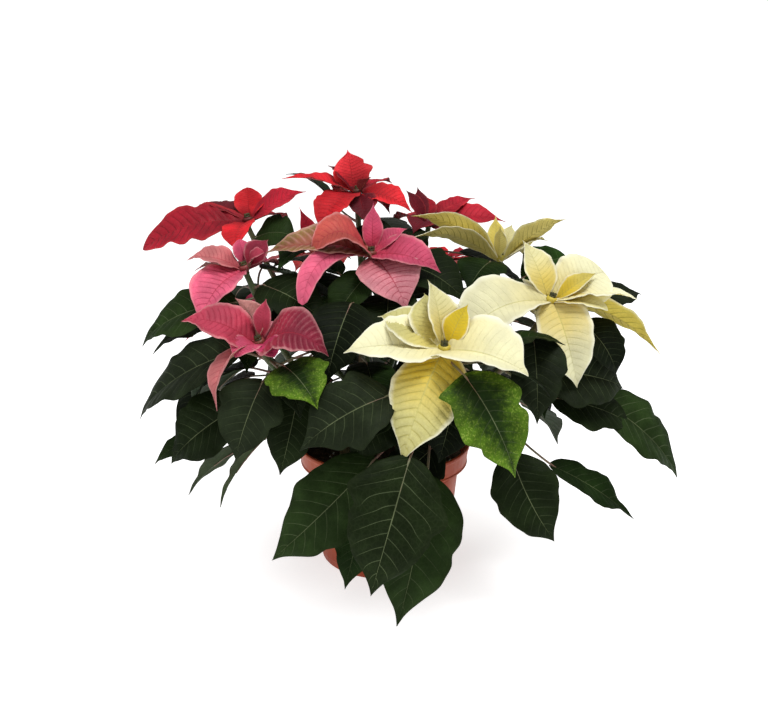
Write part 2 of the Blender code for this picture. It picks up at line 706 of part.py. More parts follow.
def settle_leaf(bloom, row, placed):
    """A measured leaf, slipped and re-rooted until it and its stalk touch no other node, or None."""
    for slip, shift in itertools.product(SLIPS, ROOT_SHIFTS):
        blade = leaf_blade(row, slip)
        blade["root"] = along_path(bloom["path"], min(0.97, max(0.04, row["at"] + shift)))
        hull = hull_of(blade)
        if not placed.hits("stem_" + bloom["name"], hull):
            return blade, hull
    return None


def outside_crown(tip):
    """Whether a filling leaf would stick out of the round crown that the measured leaves draw."""
    reach = math.hypot(tip.x - CROWN_X, tip.y - CROWN_Y)
    lowest = CROWN_FRONT_LOW if tip.y < 0 else CROWN_BACK_LOW
    return reach > CROWN_REACH - CROWN_SLOPE * max(0.0, tip.z - POT_HEIGHT) or tip.z < lowest


def fill_row(out, base, tip):
    length = (tip - base).length / MM
    return dict(
        tip=tip, width=length * FILL_RATIO, rise=length * 0.1, fold=7, face=out * 0.5 + Vector((0, 0, 1)),
        sway=0, form="leaf", rows=3,
    )


def settle_fill(bloom, count, chance, placed):
    """A filling leaf, made smaller, turned and tilted until it has room, or None."""
    root, heading, length = fill_place(bloom["path"], count, chance)
    for size, turn, dip in itertools.product(FILL_SIZES, FILL_TURNS, FILL_DIPS):
        level = 0.30 - 0.16 * count + dip
        out = Vector((math.cos(heading + turn), math.sin(heading + turn), 0))
        base = root + (out + Vector((0, 0, level + 0.25))).normalized() * (PETIOLE_LENGTH * size)
        tip = base + (out + Vector((0, 0, level - 0.35))).normalized() * (length * size)
        if base.z < POT_HEIGHT + 0.004 or outside_crown(tip):
            continue
        blade = make_blade(base, fill_row(out, base, tip), LEAF_THICKNESS)
        bare = hull_of(blade)
        blade["root"] = root
        hull = hull_of(blade)
        if not placed.hits("stem_" + bloom["name"], hull) and not placed.hits(None, bare):
            return blade, hull
    return None


def lean_to(bm, bloom, height):
    """Leans what was made about the origin as the bloom does, and sets it at a height from its heart."""
    turn = Vector((0, 0, 1)).rotation_difference(bloom["lean"]).to_matrix()
    bmesh.ops.rotate(bm, verts=bm.verts, cent=(0, 0, 0), matrix=turn)
    bmesh.ops.translate(bm, verts=bm.verts, vec=bloom["heart"] + bloom["lean"] * height)


def bloom_object(bloom, parts):
    """The bracts of one bloom, fused to its receptacle."""
    name = "bloom_" + bloom["name"]
    bm = bmesh.new()
    height = HEART_ABOVE + HEART_BELOW
    bmesh.ops.create_cone(
        bm, cap_ends=True, segments=8, radius1=HEART_FOOT, radius2=HEART_RADIUS, depth=height
    )
    lean_to(bm, bloom, HEART_ABOVE - height / 2)
    heart = add_object(name + "_heart", mesh_from(bm, name + "_heart"), parts)
    blades = [blade_object(b, f"{name}_bract_{i}", parts) for i, b in enumerate(bloom["blades"])]
    return fuse(name, heart, blades, parts)


def cyathia_object(bloom, parts):
    """The true flowers: six cups drawn up out of one thin six-sided seat."""
    name = "cyathia_" + bloom["name"]
    bm = bmesh.new()
    bmesh.ops.create_cone(
        bm, cap_ends=True, cap_tris=True, segments=6, radius1=CUP_RING, radius2=CUP_RING, depth=CUP_SEAT
    )
    tops = [f for f in bm.faces if f.normal.z > 0.9]
    bmesh.ops.inset_individual(bm, faces=tops, thickness=CUP_INSET)
    for top in tops:
        lifted = bmesh.ops.extrude_discrete_faces(bm, faces=[top])["faces"]
        bmesh.ops.translate(bm, verts=lifted[0].verts, vec=(0, 0, CUP_HEIGHT))
    bmesh.ops.triangulate(bm, faces=bm.faces)
    lean_to(bm, bloom, HEART_ABOVE + GAP + CUP_SEAT / 2)
    return add_object(name, mesh_from(bm, name), parts)


def stem_object(bloom, parts):
    name = "stem_" + bloom["name"]
    stem = tube(name + "_axis", bloom["path"], STEM_RADIUS, parts, resolution=1)
    leaves = [blade_object(blade, f"{name}_leaf_{i}", parts) for i, blade in enumerate(bloom["leaves"])]
    return fuse(name, stem, leaves, parts)


def trunk_object(plant, blooms, parts):
    x, y = TRUNKS[plant]
    bottom = SOIL_TOP - TRUNK_DEPTH
    bm = bmesh.new()
    height = TRUNK_TOP - bottom
    bmesh.ops.create_cone(
        bm, cap_ends=True, segments=10, radius1=TRUNK_RADIUS, radius2=TRUNK_RADIUS * 0.8, depth=height
    )
    bmesh.ops.translate(bm, verts=bm.verts, vec=(x, y, bottom + height / 2))
    name = "trunk_" + plant
    trunk = add_object(name + "_bole", mesh_from(bm, name), parts)
    stubs = []
    for bloom in blooms:
        foot, slope = bloom["foot"], bloom["slope"]
        stubs.append(tube(name + "_stub", [foot, foot + slope * STUB_REACH], STUB_RADIUS, parts, resolution=1))
    return fuse(name, trunk, stubs, parts)


def turned(name, profile, parts):
    """A profile of (radius, height) points turned about Z, as a plain mesh."""
    bm = bmesh.new()
    verts = [bm.verts.new((radius, 0, height)) for radius, height in profile]
    for a, b in zip(verts, verts[1:]):
        bm.edges.new((a, b))
    obj = add_object(name + "_profile", mesh_from(bm, name), parts)
    screw = obj.modifiers.new("Turn", "SCREW")
    screw.steps = TURN_STEPS
    screw.render_steps = TURN_STEPS
    screw.use_merge_vertices = True
    screw.merge_threshold = 0.00001
    made = evaluated_copy(obj, name, parts)
    weld(made.data)
    return made


def wall_radius(height):
    """The pot's outer radius below its rim, at a height."""
    return FOOT_RADIUS + 0.002 + (NECK_RADIUS - FOOT_RADIUS - 0.002) * height / (POT_HEIGHT - RIM_DROP)


def pot_profile():
    rim_foot = POT_HEIGHT - RIM_DROP
    return [
        (RIM_RADIUS - 0.0026, POT_HEIGHT),
        (RIM_RADIUS - 0.0006, POT_HEIGHT),
        (RIM_RADIUS, POT_HEIGHT - 0.0012),
        (RIM_RADIUS - 0.0035, rim_foot),
        (NECK_RADIUS, rim_foot - 0.002),
        (wall_radius(0.008), 0.008),
        (FOOT_RADIUS, 0.007),
        (FOOT_RADIUS, 0),
        (0, 0),
        (0, FLOOR),
        (FOOT_RADIUS - WALL, FLOOR),
        (wall_radius(0.012) - WALL, 0.012),
        (NECK_RADIUS - WALL, rim_foot - 0.003),
        (RIM_RADIUS - 0.0035 - WALL, rim_foot + 0.001),
        (RIM_RADIUS - 0.0026, POT_HEIGHT),
    ]


def cut(obj, cutters, collection):
    """obj less every cutter, which then goes."""
    for cutter in cutters:
        difference = obj.modifiers.new("Cut", "BOOLEAN")
        difference.operation = "DIFFERENCE"
        difference.object = cutter
    made = evaluated_copy(obj, obj.name, collection)
    for cutter in cutters:
        bpy.data.objects.remove(cutter)
    return made


def cylinder(name, centre, radius, low, high, sides, collection):
    bm = bmesh.new()
    bmesh.ops.create_cone(bm, cap_ends=True, segments=sides, radius1=radius, radius2=radius, depth=high - low)
    bmesh.ops.translate(bm, verts=bm.verts, vec=(centre[0], centre[1], (low + high) / 2))
    return add_object(name, mesh_from(bm, name), collection)


def pot_object(parts, cutters):
    pot = turned("pot", pot_profile(), parts)
    holes = []
    for i in range(HOLE_COUNT):
        angle = 2 * math.pi * i / HOLE_COUNT
        place = (HOLE_RING * math.cos(angle), HOLE_RING * math.sin(angle))
        holes.append(cylinder(f"drain_{i}", place, HOLE_RADIUS, -0.01, 0.02, 8, cutters))
    pot.name = "pot"
    return cut(pot, holes, parts)


def soil_object(parts, cutters):
    """The potting soil: it fills the pot to below the rim, and has a plain hole for each trunk."""
    top = RIM_RADIUS - 0.0066
    profile = [
        (0, SOIL_TOP + SOIL_CROWN),
        (0.03, SOIL_TOP + SOIL_CROWN * 0.7),
        (0.055, SOIL_TOP + SOIL_CROWN * 0.2),
        (top, SOIL_TOP),
        (NECK_RADIUS - WALL - 0.0005, POT_HEIGHT - RIM_DROP - 0.0032),
        (wall_radius(0.0125) - WALL - 0.0005, 0.0125),
        (FOOT_RADIUS - WALL - 0.0005, FLOOR + GAP),
        (0, FLOOR + GAP),
    ]
    soil = turned("soil", profile, parts)
    holes = []
    for plant, place in TRUNKS.items():
        low = SOIL_TOP - TRUNK_DEPTH - GAP
        holes.append(cylinder("hole_" + plant, place, TRUNK_RADIUS + 2 * GAP, low, 0.14, 12, cutters))
    soil.name = "soil"
    return cut(soil, holes, parts)


def lay_out():
    """Works out every stem, bract and leaf, each bent clear of what is placed before it."""
    placed = Placed()
    chance = random.Random(SEED)
    angles = [i * math.pi / 8 for i in range(17)]
    ring = [Vector((RIM_RADIUS * math.cos(a), RIM_RADIUS * math.sin(a), POT_HEIGHT - 0.001)) for a in angles]
    placed.add("pot", hull_of_tube(ring, 0.002))
    placed.add("pot", hull_of_tube([p - Vector((0, 0, 0.011)) for p in ring], 0.002))
    lid = [Vector((0, 0, SOIL_TOP + SOIL_CROWN + 0.002))] + ring
    placed.add("soil", (lid, [(0, i, i + 1) for i in range(1, len(ring))]))
    for plant, (x, y) in TRUNKS.items():
        bole = [Vector((x, y, z)) for z in (SOIL_TOP, TRUNK_TOP)]
        placed.add("trunk_" + plant, hull_of_tube(bole, TRUNK_RADIUS))
    blooms = []
    for name, row in BLOOMS.items():
        bloom = dict(name=name, heart=Vector(row["heart"]) * MM, lean=Vector(row["lean"]).normalized(), leaves=[])
        bloom["root"] = STUB_TOP - STUB_STEP * STUB_ORDER[int(name.split("_")[1]) - 1]
        bloom["path"], bloom["foot"], bloom["slope"] = stem_path(bloom)
        bloom["blades"] = bract_blades(bloom, row["bracts"])
        placed.add("stem_" + name, hull_of_tube(bloom["path"], STEM_RADIUS))
        blooms.append(bloom)
    for bloom in blooms:
        node = "bloom_" + bloom["name"]
        low, high = (bloom["heart"] + bloom["lean"] * end for end in (-HEART_BELOW, HEART_ABOVE + CUP_HEIGHT))
        placed.add(node, hull_of_tube([low, high], HEART_RADIUS))
        for blade in bloom["blades"]:
            placed.add(node, hull_of(blade))
    for bloom in blooms:
        for row in LEAVES.get(bloom["name"], ()):
            settled = settle_leaf(bloom, row, placed)
            if settled:
                bloom["leaves"].append(settled[0])
                placed.add("stem_" + bloom["name"], settled[1])
    for bloom in blooms:
        for count in range(FILL_LEAVES[bloom["name"]]):
            settled = settle_fill(bloom, count, chance, placed)
            if settled:
                bloom["leaves"].append(settled[0])
                placed.add("stem_" + bloom["name"], settled[1])
    return blooms


def main():
    for obj in list(bpy.data.objects):
        bpy.data.objects.remove(obj)
    parts = bpy.data.collections.new("Poinsettia")
    cutters = bpy.data.collections.new("Cutters")
    bpy.context.scene.collection.children.link(parts)
    bpy.context.scene.collection.children.link(cutters)
    finishes = {name: material(name, colour) for name, colour in COLOURS.items()}
    blooms = lay_out()
    made = [(pot_object(parts, cutters), "pot"), (soil_object(parts, cutters), "soil")]
    for plant in TRUNKS:
        own = [b for b in blooms if b["name"].startswith(plant)]
        made.append((trunk_object(plant, own, parts), "trunk"))
    for bloom in blooms:
        made.append((stem_object(bloom, parts), "stem"))
        made.append((bloom_object(bloom, parts), bloom["name"].split("_")[0]))
        made.append((cyathia_object(bloom, parts), "cyathia"))
    for obj, finish in made:
        obj.data.materials.clear()
        obj.data.materials.append(finishes[finish])


main()
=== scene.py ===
import itertools
import math
import random

import bmesh
import bpy
import numpy as np
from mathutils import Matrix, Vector, noise
from mathutils.bvhtree import BVHTree


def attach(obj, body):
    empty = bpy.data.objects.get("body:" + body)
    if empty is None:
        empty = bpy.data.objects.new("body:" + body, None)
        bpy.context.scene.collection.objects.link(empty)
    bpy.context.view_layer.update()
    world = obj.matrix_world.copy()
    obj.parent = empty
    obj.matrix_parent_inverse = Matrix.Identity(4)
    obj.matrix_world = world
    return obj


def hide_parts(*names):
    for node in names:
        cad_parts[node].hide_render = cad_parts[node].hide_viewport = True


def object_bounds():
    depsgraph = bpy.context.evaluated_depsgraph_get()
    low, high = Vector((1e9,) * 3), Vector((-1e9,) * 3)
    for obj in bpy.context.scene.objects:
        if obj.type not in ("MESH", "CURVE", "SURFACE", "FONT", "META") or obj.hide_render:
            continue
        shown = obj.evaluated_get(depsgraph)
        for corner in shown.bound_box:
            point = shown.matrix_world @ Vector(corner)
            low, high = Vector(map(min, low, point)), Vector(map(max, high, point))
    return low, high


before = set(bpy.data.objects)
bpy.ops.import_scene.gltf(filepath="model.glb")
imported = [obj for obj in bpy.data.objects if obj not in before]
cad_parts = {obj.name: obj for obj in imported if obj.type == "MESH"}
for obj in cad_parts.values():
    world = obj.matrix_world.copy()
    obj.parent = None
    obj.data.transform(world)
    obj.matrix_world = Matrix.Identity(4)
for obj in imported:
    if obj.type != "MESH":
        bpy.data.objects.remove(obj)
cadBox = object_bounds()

mm = 0.001
print("frame loaded:", len(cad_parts), "nodes")

tints = dict(  # linear colours
    # the darkest red below is scarlet with painted shade, for the red bracts that sit in shade
    scarlet=(0.78, 0.014, 0.024), crimson=(0.52, 0.010, 0.030), maroon=(0.15, 0.004, 0.014),
    candy=(0.85, 0.138, 0.245), ruby=(0.94, 0.032, 0.046), straw=(0.60, 0.56, 0.23),
    flame=(0.70, 0.030, 0.024), rose=(0.74, 0.095, 0.190), blush=(0.80, 0.290, 0.340), salmon=(0.58, 0.100, 0.075),
    dusty=(0.36, 0.115, 0.075), wine=(0.28, 0.020, 0.048), magenta=(0.60, 0.045, 0.140), shell=(0.66, 0.200, 0.200),
    cerise=(0.52, 0.055, 0.100), ivory=(0.86, 0.80, 0.42), white=(0.90, 0.87, 0.56), butter=(0.80, 0.66, 0.15),
    yellow=(0.70, 0.52, 0.03), deep=(0.012, 0.021, 0.006), green=(0.013, 0.030, 0.006), slate=(0.018, 0.026, 0.012),
    # the darkest leaf green below is the leaves' own dark green with painted shade, for leaves deep inside the
    # plant
    fresh=(0.022, 0.062, 0.008), moss=(0.045, 0.062, 0.010), night=(0.006, 0.010, 0.004), mid=(0.022, 0.044, 0.010),
)


def bract(tip, width, rise, fold, face, tint, sway=0, form="bract", **look):
    rows = 4 if width > 30 else 3 if width > 24 else 2
    shape = dict(tip=tip, width=width, rise=rise, fold=fold, face=face, sway=sway, form=form, rows=rows)
    return dict(shape, tint=tint, **look)


# Lengths are in mm. A bract has its tip from the heart, its width, its midrib's bulge, its fold in degrees,
# where its top looks, and its tint. Then come its outline and what is special in its look.
blooms = {
    "red_1": dict(heart=(-137, 70, 330), lean=(-2, 0, 10), bracts=[
        bract(
            (-104, -15, -29), 54, 13, 4, (-2, -7, 10), "crimson",
            form="round", shade=0.12, quilt=2.0, veins=0.9, cuts=(-0.5, -0.68, 0.42),
        ),
        bract((-2, 18, 29), 30, 0, 8, (0, -6, 4), "scarlet", form="round"),
        bract((59, 4, 27), 36, 5, 6, (0, -5, 10), "crimson"),
        bract((-6, -52, -21), 34, 7, 6, (-2, -4, 10), "scarlet", form="round"),
        bract((-62, 42, 6), 34, 8, 8, (-3, 2, 10), "maroon"),
        bract((-18, 66, -16), 38, 10, 8, (0, 4, 10), "scarlet"),
        bract((38, 52, -12), 34, 8, 8, (3, 3, 10), "crimson"),
        bract((20, 16, 16), 18, 3, 16, (-4, -4, 10), "scarlet"),
    ]),
    "red_2": dict(heart=(-27, 90, 356), lean=(0, 1, 10), bracts=[
        bract((-10, 14, 40), 40, 2, 6, (2, -10, 4), "ruby", quilt=1.6, cuts=(0.6,)),
        bract((36, 40, 5), 30, 5, 8, (2, 2, 10), "crimson"),
        bract((-30, 16, 24), 28, 3, 14, (4, -3, 6), "maroon"),
        bract((-76, -5, 13), 36, 5, 6, (0, -2, 10), "scarlet"),
        bract((-35, -50, -30), 42, 9, 6, (-2, -6, 10), "scarlet", form="round"),
        bract((56, -20, -20), 36, 7, 8, (1, -5, 10), "scarlet"),
        bract((9, -44, -29), 34, 6, 8, (0, -7, 10), "maroon"),
        bract((-22, 66, -16), 38, 9, 8, (-1, 4, 10), "scarlet"),
        bract((34, 62, -30), 38, 9, 8, (1, 4, 10), "crimson"),
        bract((14, -14, 14), 18, 2, 18, (-4, 4, 10), "maroon"),
    ]),
    "red_3": dict(heart=(47, 120, 322), lean=(1, 1, 10), bracts=[
        bract((-23, 6, 31), 18, 2, 12, (4, -6, 4), "maroon", form="slim"),
        bract((-11, 20, 33), 18, 0, 12, (2, -6, 4), "maroon", form="slim"),
        bract((-1, 24, 23), 22, 3, 12, (0, -6, 8), "crimson"),
        bract((51, 22, 22), 30, 5, 8, (0, -4, 10), "crimson"),
        bract((82, -5, -1), 38, 8, 6, (0, -5, 10), "crimson"),
        bract((62, 38, 8), 30, 6, 8, (0, 1, 10), "scarlet"),
        bract((-18, -45, -8), 34, 6, 8, (0, -5, 10), "maroon"),
        bract((32, -24, -14), 32, 6, 8, (0, -5, 10), "maroon"),
        bract((24, 64, -14), 38, 9, 8, (0, 4, 10), "scarlet"),
        bract((-38, 50, -10), 36, 8, 8, (-2, 3, 10), "crimson"),
    ]),
    "red_4": dict(heart=(62, 200, 262), lean=(2, 5, 10), bracts=[
        bract((30, 62, -24), 46, 11, 8, (1, 5, 10), "scarlet"),
        bract((-32, 64, -22), 44, 10, 8, (-1, 5, 10), "scarlet"),
        bract((72, 18, -8), 42, 9, 6, (2, 2, 10), "crimson"),
        bract((-66, 20, -2), 40, 8, 6, (-2, 2, 10), "scarlet"),
        bract((40, -18, 12), 30, 6, 8, (2, -2, 10), "crimson"),
        bract((-32, -16, 14), 30, 6, 8, (-2, -2, 10), "crimson"),
        bract((2, 40, 14), 28, 4, 14, (0, -4, 10), "scarlet"),
        bract((-24, 8, 12), 22, 3, 16, (4, 2, 10), "crimson"),
        bract((24, 6, 12), 22, 1, 10, (-4, 2, 10), "scarlet"),
    ]),
    "red_5": dict(heart=(-72, 198, 268), lean=(-2, 5, 10), bracts=[
        bract((-24, -6, 60), 24, 3, 10, (0, -6, 4), "crimson"),
        bract((-38, 60, -26), 46, 11, 8, (-1, 5, 10), "scarlet"),
        bract((22, 66, -22), 44, 10, 8, (1, 5, 10), "scarlet"),
        bract((-74, 10, -10), 42, 9, 6, (-2, 2, 10), "crimson"),
        bract((62, 26, 2), 40, 8, 6, (2, 2, 10), "scarlet"),
        bract((36, -40, 8), 34, 6, 8, (2, -2, 10), "crimson"),
        bract((-40, -42, 4), 34, 6, 8, (-2, -2, 10), "scarlet"),
        bract((-4, 36, 30), 26, 4, 14, (0, -4, 10), "scarlet"),
        bract((24, 4, 24), 22, 3, 16, (-4, 2, 10), "flame"),
    ]),
    "pink_1": dict(heart=(-130, -10, 295), lean=(-3, -1, 10), bracts=[
        bract((-53, -5, 8), 34, 6, 14, (0, -4, 10), "shell"),
        bract((-50, 14, -6), 28, 5, 8, (0, 2, 10), "wine"),
        bract((-36, -45, -49), 56, 13, 14, (-5, -10, 7), "candy", veins=0.9, quilt=1.3),
        bract((-6, 14, 23), 20, 0, 10, (3, -8, 3), "rose", form="round"),
        bract((20, -8, 14), 20, 3, 18, (-4, -4, 8), "cerise", form="round"),
        bract((21, 16, 23), 26, 3, 10, (-1, -8, 6), "wine"),
        bract((-22, 50, -14), 40, 8, 8, (0, 3, 10), "rose"),
        bract((34, 38, -10), 34, 7, 8, (2, 3, 10), "magenta"),
    ]),
    "pink_2": dict(heart=(-12, 0, 307), lean=(0, -1, 10), bracts=[
        bract((-98, -15, 2), 46, 9, 16, (0, -5, 10), "dusty", form="leaf", veins=-0.22, quilt=2.2, mottle=0.4),
        bract((-60, -22, -5), 50, 27, 10, (-1, -5, 10), "salmon", form="leaf", quilt=1.4, veins=0.6),
        bract(
            (-60, -62, -38), 26, 17, 3, (-3, -8, 7), "candy",
            sway=14, form="ribbon", wave=0.3, curl=0.5, veins=0.4, cuts=(),
        ),
        bract((2, 12, 44), 21, 3, 10, (0, -10, 2), "rose"),
        bract((65, -20, -16), 46, 8, 16, (2, -6, 10), "rose", form="leaf", quilt=1.3, wave=0.4),
        bract((34, 15, 20), 20, 4, 14, (0, -5, 8), "rose"),
        bract((34, -48, -48), 62, 9, 4, (2, -10, 9), "blush", veins=1.0, wave=0.1, quilt=0.8),
        bract((-10, 52, -6), 44, 9, 8, (0, 3, 10), "rose"),
        bract((52, 36, -8), 38, 8, 8, (2, 3, 10), "magenta"),
    ]),
    "pink_3": dict(heart=(-108, -90, 244), lean=(-3, -3, 10), bracts=[
        bract((-65, -5, 20), 48, 10, 6, (0, -6, 10), "cerise", form="leaf", quilt=1.9),
        bract((-21, 20, 34), 34, 5, 8, (2, 8, 6), "blush"),
        bract((6, 12, 34), 18, 2, 14, (-2, -8, 4), "cerise", form="slim"),
        bract((62, -15, -10), 56, 20, 6, (0, -6, 10), "wine", form="leaf", quilt=2.4, veins=-0.13, cuts=(0.35,)),
        bract((17, -30, -6), 28, 5, 8, (1, -8, 8), "magenta", form="round"),
        bract((-16, -30, -6), 28, 5, 8, (-1, -8, 8), "rose", form="round"),
        bract((-31, -45, -49), 30, 16, 14, (-8, -6, 4), "shell"),
        bract((-40, 42, -2), 38, 8, 8, (-2, 3, 10), "rose"),
        bract((30, 40, 2), 36, 7, 8, (1, 2, 10), "blush"),
    ]),
    "pink_4": dict(heart=(-156, 132, 214), lean=(-5, 4, 10), bracts=[
        bract((-64, 26, -30), 44, 11, 6, (-4, 1, 10), "rose"),
        bract((-30, 62, -26), 42, 10, 6, (-2, 4, 10), "blush", veins=0.9),
        bract((-58, -34, -18), 40, 9, 6, (-4, -3, 10), "rose"),
        bract((34, 54, -6), 38, 8, 8, (1, 3, 10), "magenta"),
        bract((-6, -56, -4), 36, 8, 8, (-1, -3, 10), "rose"),
        bract((-26, 14, 28), 24, 1, 10, (4, -2, 10), "rose"),
        bract((10, 28, 26), 24, 3, 14, (-1, -4, 10), "magenta"),
    ]),
    "cream_1": dict(heart=(50, -120, 247), lean=(0, -3, 10), bracts=[
        bract((-84, -5, -3), 60, 5, 14, (0, -5, 10), "white", form="leaf", gold=0.1, veins=0.12, quilt=0.3),
        bract((-56, 25, 21), 50, 7, 6, (-1, -5, 10), "straw", quilt=1.5, gold=0.2),
        bract((-16, 32, 39), 48, 6, 6, (0, -8, 6), "straw", quilt=2.3, gold=0.3, veins=0.9),
        bract((-13, 20, 52), 36, 4, 26, (7, -10, 3), "ivory", gold=0.5, quilt=1.6, veins=0.5),
        bract((20, 10, 34), 24, 3, 10, (-4, -10, 3), "yellow", gold=1.0, quilt=1.6),
        bract(
            (66, -34, -15), 68, 8, 24, (1, -6, 10), "white",
            form="heart", gold=0.1, veins=0.1, quilt=0.3, ear=0.2, cuts=(-0.9,),
        ),
        bract(
            (-36, -45, -85), 62, 16, -5, (-1, -10, 7), "straw",
            form="heart", gold=1.0, quilt=2.2, veins=1.2, cuts=(-0.33,),
        ),
        bract((46, 34, 6), 44, 8, 8, (1, 1, 10), "ivory"),
    ]),
    "cream_2": dict(heart=(154, -30, 269), lean=(3, -1, 10), bracts=[
        bract(
            (-81, -32, -26), 66, 9, 18, (0, -7, 10), "white",
            sway=6, form="spoon", gold=0.1, veins=0.1, quilt=0.3,
        ),
        bract((-25, 25, 50), 34, 4, 12, (3, -10, 5), "ivory", gold=0.7, quilt=1.5),
        bract((52, 20, 22), 60, 6, 6, (-3, -14, 8), "white", form="round", gold=0.4, veins=0.25),
        bract((42, 5, 23), 22, 3, 24, (0, -6, 8), "butter", gold=1.0, quilt=1.6),
        bract((77, -10, 3), 46, 5, 8, (0, -1, 10), "white", gold=0.3, veins=0.15),
        bract((21, -35, -77), 54, 13, 14, (-1, -10, 6), "white", form="leaf", gold=0.6, quilt=1.4, veins=0.5),
        bract((46, -24, -6), 24, 5, 8, (1, -4, 10), "ivory", form="round", gold=0.9),
        bract((108, 12, -56), 42, 14, 6, (5, 8, 10), "butter", veins=1),
        bract((-8, 56, -4), 42, 8, 8, (0, 3, 10), "ivory"),
        bract((52, 50, -6), 42, 9, 8, (2, 3, 10), "white"),
    ]),
    "cream_3": dict(heart=(118, 70, 292), lean=(1, 1, 10), bracts=[
        bract((-91, -10, 42), 34, 14, 6, (-2, 8, 10), "ivory", veins=1, quilt=1.6),
        bract((-91, -25, 22), 34, 14, 6, (-1, 7, 10), "ivory", veins=1, quilt=1.6),
        bract((-4, 16, 39), 22, 0, 14, (0, -8, 4), "butter"),
        bract((14, 22, 30), 22, 3, 14, (0, -6, 8), "ivory"),
        bract((65, 0, 39), 38, 5, 4, (0, 8, 10), "ivory", veins=1, quilt=1.6),
        bract((-2, -10, 31), 16, 0, 14, (4, 6, 4), "ivory", form="slim"),
        bract((-30, 58, 2), 42, 9, 8, (-1, 3, 10), "ivory"),
        bract((34, 60, -8), 42, 9, 8, (1, 3, 10), "white"),
        bract((56, 40, 10), 36, 8, 8, (2, 2, 10), "ivory"),
    ]),
    "cream_4": dict(heart=(172, 120, 220), lean=(5, 3, 10), bracts=[
        bract((70, 20, -30), 44, 11, 6, (4, 1, 10), "white"),
        bract((40, 62, -24), 44, 10, 6, (3, 4, 10), "ivory"),
        bract((58, -40, -18), 40, 9, 6, (4, -3, 10), "ivory"),
        bract((-26, 62, -6), 40, 9, 8, (0, 4, 10), "white"),
        bract((12, -52, 4), 34, 7, 8, (1, -3, 10), "ivory"),
        bract((28, 10, 28), 24, 3, 14, (-4, -1, 10), "butter"),
        bract((-8, 30, 28), 24, 3, 14, (1, -4, 10), "yellow"),
    ]),
}


def leaf(base, tip, width, rise, fold, face, at, tint, sway=0, lobe=0, form="leaf", **look):
    shape = dict(base=base, tip=tip, width=width, rise=rise, fold=fold, face=face, sway=sway, lobe=lobe, form=form)
    return dict(shape, at=at, rows=5 if width > 40 else 4, tint=tint, **look)


